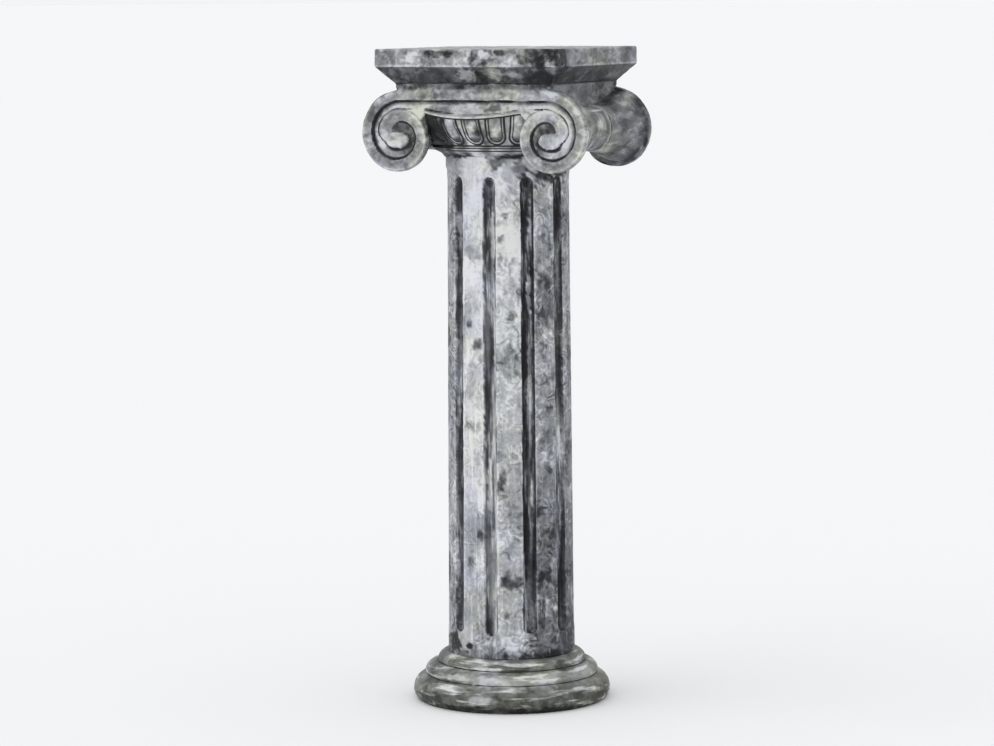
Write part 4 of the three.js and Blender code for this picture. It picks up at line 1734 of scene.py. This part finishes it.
@dataclass
class Slab:
    """Square slab with its sloped underside and neck, and the core that fills the capital below it."""

    paint: bpy.types.Material
    half: float = 151.0
    foot: float = 973.0
    top: float = 1000.0
    neck_half: float = 127.0
    neck_foot: float = 900.0
    slope_foot: float = 947.9
    lower_corner: float = 2.5
    corner: float = 3.0
    per_side: int = 104
    faces_top: float = 940.0
    cover_depths: tuple = (110.0, 124.0)
    depth_between_faces: float = 118.0
    core_half: float = 125.0
    core_middle: float = 60.0
    core_foot: float = 880.0
    core_top: float = 930.0
    core_corner: float = 4.0
    core_per_side: int = 30

    @staticmethod
    def square_ring(half: float, level: float, corner: float, per_side: int) -> Array:
        """Ring of points round a square with rounded corners, anticlockwise from above.

        Args:
            half: Half of its width.
            level: Its level.
            corner: Radius of its corners.
            per_side: Points along each side.

        Returns:
            The points.
        """
        ways = np.array([(1, 1), (-1, 1), (-1, -1), (1, -1)])
        centres = (half - corner) * ways
        points = []
        for quarter in range(4):
            angles = (quarter + np.linspace(0, 1, 7)) * math.pi / 2
            arc = corner * np.stack([np.cos(angles), np.sin(angles)], axis=1)
            start, end = centres[quarter] + arc[-1], centres[(quarter + 1) % 4] + arc[-1]
            points += [centres[quarter] + arc, np.linspace(start, end, per_side, endpoint=False)[1:]]
        flat = np.vstack(points)
        return np.column_stack([flat, np.full(len(flat), level)])

    def outline(self) -> list[tuple]:
        """Rows of the slab, from the neck's foot to the middle of the top.

        Returns:
            Half width, level and corner radius of each row.
        """
        half, neck = self.half, self.neck_half
        slope, rise = half - neck - 0.7, self.foot - self.slope_foot
        rows = [(neck * 0.5, self.neck_foot, 2.0), (neck, self.neck_foot, 2.0)]
        low = [(neck, level) for level in np.linspace(self.neck_foot + 4, self.slope_foot - 1.9, 18)]
        low += [(neck + 0.15, self.slope_foot - 0.9), (neck + 0.8, self.slope_foot + 0.3)]
        rows += [(*row, self.lower_corner) for row in low]
        shares = np.linspace(0.05, 0.96, 16)
        high = [(neck + 0.5 + slope * share, self.slope_foot + rise * share) for share in shares]
        high += [(half - 0.5, self.foot - 0.3), (half - 0.1, self.foot + 0.6), (half, self.foot + 1.6)]
        high += [(half, level) for level in np.linspace(self.foot + 3, self.top - 3.5, 14)]
        high += [(half - 0.2, self.top - 2), (half - 0.8, self.top - 0.8), (half - 2, self.top)]
        high += [(half * share, self.top) for share in (0.96, 0.9, 0.7, 0.4)]
        return rows + [(*row, self.corner) for row in high]

    def build(self) -> None:
        """Makes the slab, its slope and the neck."""
        grid = np.stack([self.square_ring(*row, self.per_side) for row in self.outline()])
        behind_faces = grid[:, :, 2] < self.faces_top
        grid[:, :, 1] *= np.where(behind_faces, self.depth_between_faces / self.neck_half, 1.0)
        mesh = grid_mesh("slab", grid)
        points = points_of(mesh)
        dent = 0.45 * (0.5 + 0.5 * wobble(points, 60, 31)) + 0.2 * wobble(points, 12, 32)
        edge_wear = 0.8 * smooth(wobble(points, 16, 33), 0.6, 1.6)
        near_edge = bell(points[:, 2] - self.foot - 0.3, 2.0) + bell(points[:, 2] - self.top + 0.5, 1.6)
        cut = (np.clip(dent, 0, 1) + edge_wear * near_edge) * (points[:, 2] > self.slope_foot)
        points -= corners_of(mesh, "normal") * cut[:, None]
        points[:, :2] = np.clip(points[:, :2], -self.half, self.half)
        points[:, 2] = np.minimum(points[:, 2], self.top)
        move_points(mesh, points)

        x, y, z = points.T
        on_band = smooth(z, self.foot - 2, self.foot + 1)
        on_slope = smooth(z, self.slope_foot - 1.4, self.slope_foot + 1.1) * (1 - on_band)
        # the right-hand band and slope are painted darker: painted shade on the side turned from the light
        right_band = smooth(x, self.half - 11, self.half - 3) * (np.abs(y) < self.half - 0.5) * on_band
        right_slope = smooth(x - np.abs(y), -2, 4) * on_slope
        tone = 0.46 + 0.2 * on_band - 0.15 * on_slope - 0.12 * right_band - 0.02 * right_slope
        ragged = raggedness(points, 85)
        front = PatchPainter(x, z, ragged, fading=(0.6, 1.05), cover=smooth(-y, *self.cover_depths))
        tone = front.paint(tone, SLAB_FRONT_PATCHES)
        right = PatchPainter(y, z, ragged, fading=(0.7, 1.1), cover=smooth(x, *self.cover_depths))
        tone = right.paint(tone, SLAB_RIGHT_PATCHES) + 0.08 * wobble(points, 45, 34)
        # painted shade along the creases at the foot of the slope and below the band; painted highlights
        # along the band's edges, dimmed at the front right corner
        groove = 0.8 * bell(z - self.slope_foot + 0.3, 1.6) + 0.35 * bell(z - self.foot + 0.8, 1.6)
        ridge = 0.7 * bell(z - self.foot - 1.5, 1.6) + 0.5 * bell(z - self.top + 1, 1.6)
        ridge *= 1 - 0.9 * smooth(x - y, 225, 250)
        sides = smooth(np.abs(x) - np.abs(y), -4, 4)
        busy = 0.8 - 0.35 * on_slope - 0.25 * sides * (1 - on_slope)
        write_masks(mesh, tone=tone, groove=groove, ridge=ridge, busy=busy)
        Piece("capital_slab", "capital", mesh).finish(self.paint)

    def build_core(self) -> None:
        """Makes the block between the bolsters, behind the two faces."""
        half = self.core_half
        foot, top = self.core_foot, self.core_top
        rows = [(self.core_middle, foot), (half - 3, foot), (half - 0.5, foot + 4), (half, foot + 10)]
        rows += [(half, level) for level in np.linspace(foot + 16, top, 10)]
        rows.append((self.core_middle, top))
        grid = np.stack([self.square_ring(*row, self.core_corner, self.core_per_side) for row in rows])
        grid[:, :, 1] *= self.depth_between_faces / half
        mesh = grid_mesh("core", grid)
        points = points_of(mesh)
        # painted shade on the lower part of the core, under the faces and between the bolsters
        groove = 0.8 * (1 - smooth(points[:, 2], top - 28, top - 5))
        write_masks(mesh, tone=0.4 + 0.1 * wobble(points, 40, 36), groove=groove, busy=0.7)
        Piece("capital_core", "capital", mesh).finish(self.paint)


@dataclass
class Bolster:
    """Waisted roll along one side of the capital, between the volutes of its two faces.

    Its bumps, its lines of painted shade and its lines of painted highlight have a place along it, a height
    or strength, and a width.
    """

    paint: bpy.types.Material
    name: str
    side: int
    centre_x: float = 130.5
    centre_z: float = 877.5
    outermost: float = 184.8
    flare: float = 58.0
    waist: float = 33.0
    squash: float = 0.92
    flare_power: float = 1.15
    belt_half: float = 22.0
    reach: float = 121.0
    columns: int = 160
    bumps: tuple = (
        (17.0, 3.0, 3.2),
        (-15.0, 0.9, 4.5),
        (98.0, 0.6, 2.0),
        (-98.0, 0.6, 2.0),
        (88.0, 0.5, 2.0),
        (-88.0, 0.5, 2.0),
        (11.0, -0.8, 1.8),
        (-20.5, -0.24, 1.6),
        (23.0, -0.56, 2.2),
    )
    dark_lines: tuple = ((10.5, 0.4, 2.5), (-20.5, 0.1, 2.0), (24.0, 0.5, 3.0))
    light_lines: tuple = ((17.0, 1.0, 2.2),)

    @staticmethod
    def lines(along: Array, rows: tuple) -> Array:
        """Sum of lines across the bolster at each place along it."""
        return sum(height * bell(along - place, width) for place, height, width in rows)

    def build(self) -> None:
        """Makes the bolster."""
        flare = np.linspace(self.belt_half + 8, self.reach, 60)
        belt = np.linspace(-self.belt_half - 7, self.belt_half + 7, 100)
        along = np.concatenate([-flare[::-1], belt, flare])
        share = np.maximum(0, np.abs(along) - self.belt_half) / (self.reach - self.belt_half)
        radius = self.waist + (self.flare - self.waist) * share**self.flare_power
        radius = (radius + self.lines(along, self.bumps))[:, None]
        angles = np.linspace(0, FULL_TURN, self.columns, endpoint=False)
        across = self.side * self.centre_x + radius * self.squash * np.cos(angles)
        level = self.centre_z - radius * np.sin(angles)
        mesh = grid_mesh(self.name, np.stack(np.broadcast_arrays(across, along[:, None], level), axis=2))
        points = points_of(mesh)
        dent = 0.5 * wobble(points, 50, 41 + self.side) + 0.25 * wobble(points, 11, 44 + self.side)
        cut = (0.5 + dent) * (np.abs(points[:, 1]) < self.reach - 2)
        points -= corners_of(mesh, "normal") * cut[:, None]
        points[:, 0] = np.clip(points[:, 0], -self.outermost, self.outermost)
        move_points(mesh, points)
        depth = points[:, 1]
        tone = 0.6 + 0.12 * wobble(points, 34, 47 + self.side) - 0.16 * smooth(depth, 30, 60)
        # painted shade along the dark lines and painted highlight along the light ones
        groove, ridge = (self.lines(depth, rows) for rows in (self.dark_lines, self.light_lines))
        write_masks(mesh, tone=tone, groove=groove, ridge=ridge, busy=0.5)
        Piece(self.name, "capital", mesh).finish(self.paint)


@dataclass
class EggCup:
    """Cup below the volutes, with a cone at its foot, fine lines, a ring of eggs and a lip."""

    paint: bpy.types.Material
    eggs: int = 24
    egg_turn: float = 2.0
    stem_radius: float = 95.5
    foot_radius: float = 115.0
    rim_radius: float = 147.0
    stem_foot: float = 838.3
    cone_top: float = 847.0
    foot: float = 855.0
    rim: float = 895.5
    rim_rise: float = 7.0
    rise_half_width: float = 76.0
    arc: float = 75.0
    lip: tuple = (
        (1.2, 0.2),
        (2.3, 0.8),
        (2.8, 1.8),
        (2.7, 2.9),
        (1.6, 3.8),
        (-0.6, 4.4),
        (-6, 4.9),
        (-16, 5.3),
    )
    lip_rise: float = 5.6
    lid_radii: tuple = (115.0, 60.0, 0.0)
    shell_half: float = 14.0
    shell_foot: float = 857.0
    inner_line: float = 9.6
    egg_columns: int = 30
    line_levels: tuple = ((847, 1.0), (851, 0.9), (855, 1.1))
    unevenness: float = 0.7
    uneven_from: tuple = (90.0, 100.0)
    seed: float = 9.0
    merge_distance: float = 0.00002

    def egg_relief(self, sideways: Array, level: Array) -> tuple[Array, Array]:
        """Carving of one egg.

        Args:
            sideways: Distance of each point from the egg's middle line.
            level: Level of each point.

        Returns:
            How far each point stands out, and how far painted shade darkens it there.
        """
        centre = self.shell_foot + self.shell_half
        reach = np.hypot(sideways, np.maximum(0.0, centre - level))
        line = bell(reach - self.shell_half, 1.35)
        inner_line = bell(reach - self.inner_line, 1.1)
        shell = smooth(reach, 9.8, 11.0) * (1 - smooth(reach, 12.6, 13.6))
        lobe = np.sqrt(np.clip(1 - (reach / 9.2) ** 2, 0, 1))
        height = 1.8 * lobe * smooth(level, self.shell_foot + 4, centre + 6)
        height += shell - 1.5 * line - 0.6 * inner_line - 1.2 * (reach < self.inner_line)
        hollow = (1 - smooth(reach, 8.0, self.inner_line)) * (1 - smooth(level, centre - 6, centre + 3))
        return height, np.maximum(np.maximum(line, 0.75 * inner_line), 0.5 * hollow)

    def outline(self) -> Array:
        """Outline of the cup from its foot up.

        Returns:
            Pairs of radius and level.
        """
        pairs = [(radius, self.stem_foot) for radius in (0.0, 60.0, self.stem_radius)]
        for share in np.linspace(0.1, 1, 8):
            radius = self.stem_radius + (self.foot_radius - 2 - self.stem_radius) * share
            pairs.append((radius, self.stem_foot + (self.cone_top - self.stem_foot) * share))
        for level in np.arange(self.cone_top + 0.5, self.foot, 0.5):
            share = (level - self.cone_top) / (self.foot - self.cone_top)
            pairs.append((self.foot_radius - 1 + math.sin(share * FULL_TURN - math.pi / 2), level))
        arc = math.radians(self.arc)
        for share in np.linspace(0, 1, 44):
            swell = math.sin(share * arc) / math.sin(arc)
            radius = self.foot_radius + (self.rim_radius - self.foot_radius) * swell
            pairs.append((radius, self.foot + (self.rim - self.foot) * share))
        pairs += [(self.rim_radius + out, self.rim + up) for out, up in self.lip]
        pairs += [(radius, self.rim + self.lip_rise) for radius in self.lid_radii]
        return np.array(pairs)

    def egg_unit(self) -> bpy.types.Mesh:
        """One egg's share of the cup.

        Returns:
            A slice from the axis out.
        """
        pairs = self.outline()
        half_pitch = math.pi / self.eggs
        angles = np.linspace(-half_pitch, half_pitch, self.egg_columns + 1)
        radius, level = (np.repeat(pairs[:, [k]], len(angles), axis=1) for k in (0, 1))
        height, _ = self.egg_relief(angles[None, :] * radius, level)
        radius += np.where((level > self.foot) & (level < self.rim), height, 0.0)
        return grid_mesh("egg_unit", around(radius, angles, level), Wrap.OPEN)

    def egg_ring(self) -> bpy.types.NodeTree:
        """Geometry Nodes tree that sets the eggs round the cup and lifts its rim at the sides.

        Returns:
            The tree.
        """
        inputs = {
            "Egg": "NodeSocketObject",
            "Count": self.eggs,
            "Turn": self.egg_turn,
            "Rim": self.rim,
            "Rim Rise": self.rim_rise,
            "Rise Half Width": self.rise_half_width,
            "Unevenness": self.unevenness,
            "Seed": self.seed,
            "Material": "NodeSocketMaterial",
        }
        sheet, given = NodeSheet.group("egg_ring", "GeometryNodeTree", inputs, ("Geometry", GEOMETRY))
        source = {"Object": given["Egg"]}
        egg = sheet.add("GeometryNodeObjectInfo", source, "Geometry", transform_space="ORIGINAL")
        line = sheet.add("GeometryNodeMeshLine", {"Count": given["Count"], "Offset": ORIGIN})
        pitch = FULL_TURN / given["Count"]
        angle = sheet.add("GeometryNodeInputIndex") * pitch + sheet.math("RADIANS", given["Turn"])
        copies = {"Points": line, "Instance": egg, "Rotation": sheet.join(0.0, 0.0, angle)}
        placed = sheet.add("GeometryNodeInstanceOnPoints", copies)
        joined = sheet.add("GeometryNodeRealizeInstances", {"Geometry": placed})
        merging = {"Geometry": joined, "Distance": self.merge_distance}
        merged = sheet.add("GeometryNodeMergeByDistance", merging)

        place = sheet.add("GeometryNodeInputPosition")
        x, y, z = sheet.split(place)
        half = given["Rise Half Width"] * MM
        sideways = sheet.math("MINIMUM", sheet.math("ABSOLUTE", x) / half, 1.0)
        upper = sheet.step(z / MM, given["Rim"] - 9.0, given["Rim"])
        lift = sideways * sideways * upper * given["Rim Rise"]
        push = sheet.noise(place, 45.0, given["Seed"], 2.0, output="Color")
        inner, outer = (radius * MM for radius in self.uneven_from)
        outside = sheet.step(sheet.vector("LENGTH", sheet.join(x, y, 0.0)), inner, outer)
        amount = given["Unevenness"] * MM * outside
        uneven = sheet.scaled(sheet.vector("SUBTRACT", push, HALVES), amount)
        offset = sheet.vector("ADD", uneven, sheet.join(0.0, 0.0, lift * MM))
        moved = sheet.add("GeometryNodeSetPosition", {"Geometry": merged, "Offset": offset})
        return sheet.give_dressed(moved, given["Material"])

    def build(self) -> None:
        """Makes the cup of eggs."""
        unit = bpy.data.objects.new("egg_unit", self.egg_unit())
        bpy.context.scene.collection.objects.link(unit)
        mesh = carve("capital_eggs", self.egg_ring(), {"Egg": unit, "Material": self.paint})
        bpy.data.objects.remove(unit)
        points = points_of(mesh)
        azimuths, levels = azimuth_of(points), points[:, 2]
        radius = np.hypot(points[:, 0], points[:, 1])
        pitch = 360 / self.eggs
        local = np.radians((azimuths - self.egg_turn + pitch / 2) % pitch - pitch / 2)
        _, groove = self.egg_relief(local * radius, levels)
        sideways = np.minimum(1, np.abs(points[:, 0]) / self.rise_half_width)
        above_rim = levels - (self.rim + self.rim_rise * sideways**2)
        groove *= (levels > self.foot - 1) & (above_rim < 0)
        # painted shade in the cone's fine lines and under the lip, and painted shadow at the cup's foot
        lines = sum(bell(levels - level, width) for level, width in self.line_levels)
        low = 1 - smooth(levels, self.stem_foot + 1.7, self.stem_foot + 7.7)
        seam = 0.6 * low * smooth(roughness(points), -1.2, 0.8)
        for other in (lines, bell(above_rim, 1.0), seam):
            groove = np.maximum(groove, other)

        # painted shade on the left, where the cup meets the coil of the volute, and at the sides under the
        # bolsters; the blotches are the paint's own
        left = smooth(-azimuths, 4, 26)
        corner = smooth(np.abs(unlike(azimuths * 2, 0) / 2), 30, 42)
        blotches = smooth(wobble(points, 15, 76), 0.1, 1.0) * (1 - smooth(azimuths, 6, 20))
        tone = 0.8 - 0.3 * left - 0.3 * corner + 0.16 * wobble(points, 24, 72) - 0.3 * blotches
        # painted shadow on the left below the eggs
        shaded = smooth(-azimuths, 17, 26) * (azimuths > -60)
        tone *= 1 - 0.95 * shaded * smooth(levels, self.foot - 3, self.shell_foot)
        tone = np.where(above_rim > -1, 0.86 + 0.06 * wobble(points, 30, 73), tone)
        # painted highlight along the top of the lip
        ridge = 0.4 * bell(above_rim - 2.5, 2.0)
        write_masks(mesh, tone=tone, groove=np.clip(groove, 0, 1), ridge=ridge, busy=0.6)
        Piece("capital_eggs", "capital", mesh).finish(self.paint)


@dataclass
class Capital:
    """Slab, core, two bolsters, two faces of volutes and the cup of eggs, all of one casting."""

    paint: bpy.types.Material

    def build(self) -> None:
        """Makes every piece of the capital."""
        slab = Slab(self.paint)
        slab.build()
        slab.build_core()
        Bolster(self.paint, "capital_bolster_right", 1).build()
        Bolster(self.paint, "capital_bolster_left", -1).build()
        FacePlate(self.paint).build()
        EggCup(self.paint).build()


def main() -> None:
    """Builds the studio and the column."""
    logging.basicConfig(level=logging.INFO, format="%(message)s")
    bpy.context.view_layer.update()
    Studio().build()
    effects = PaintEffects()
    Base(BASE_PAINT.material(effects)).build()
    Shaft(SHAFT_PAINT.material(effects)).build()
    Capital(CAPITAL_PAINT.material(effects)).build()


if __name__ == "__main__":
    main()
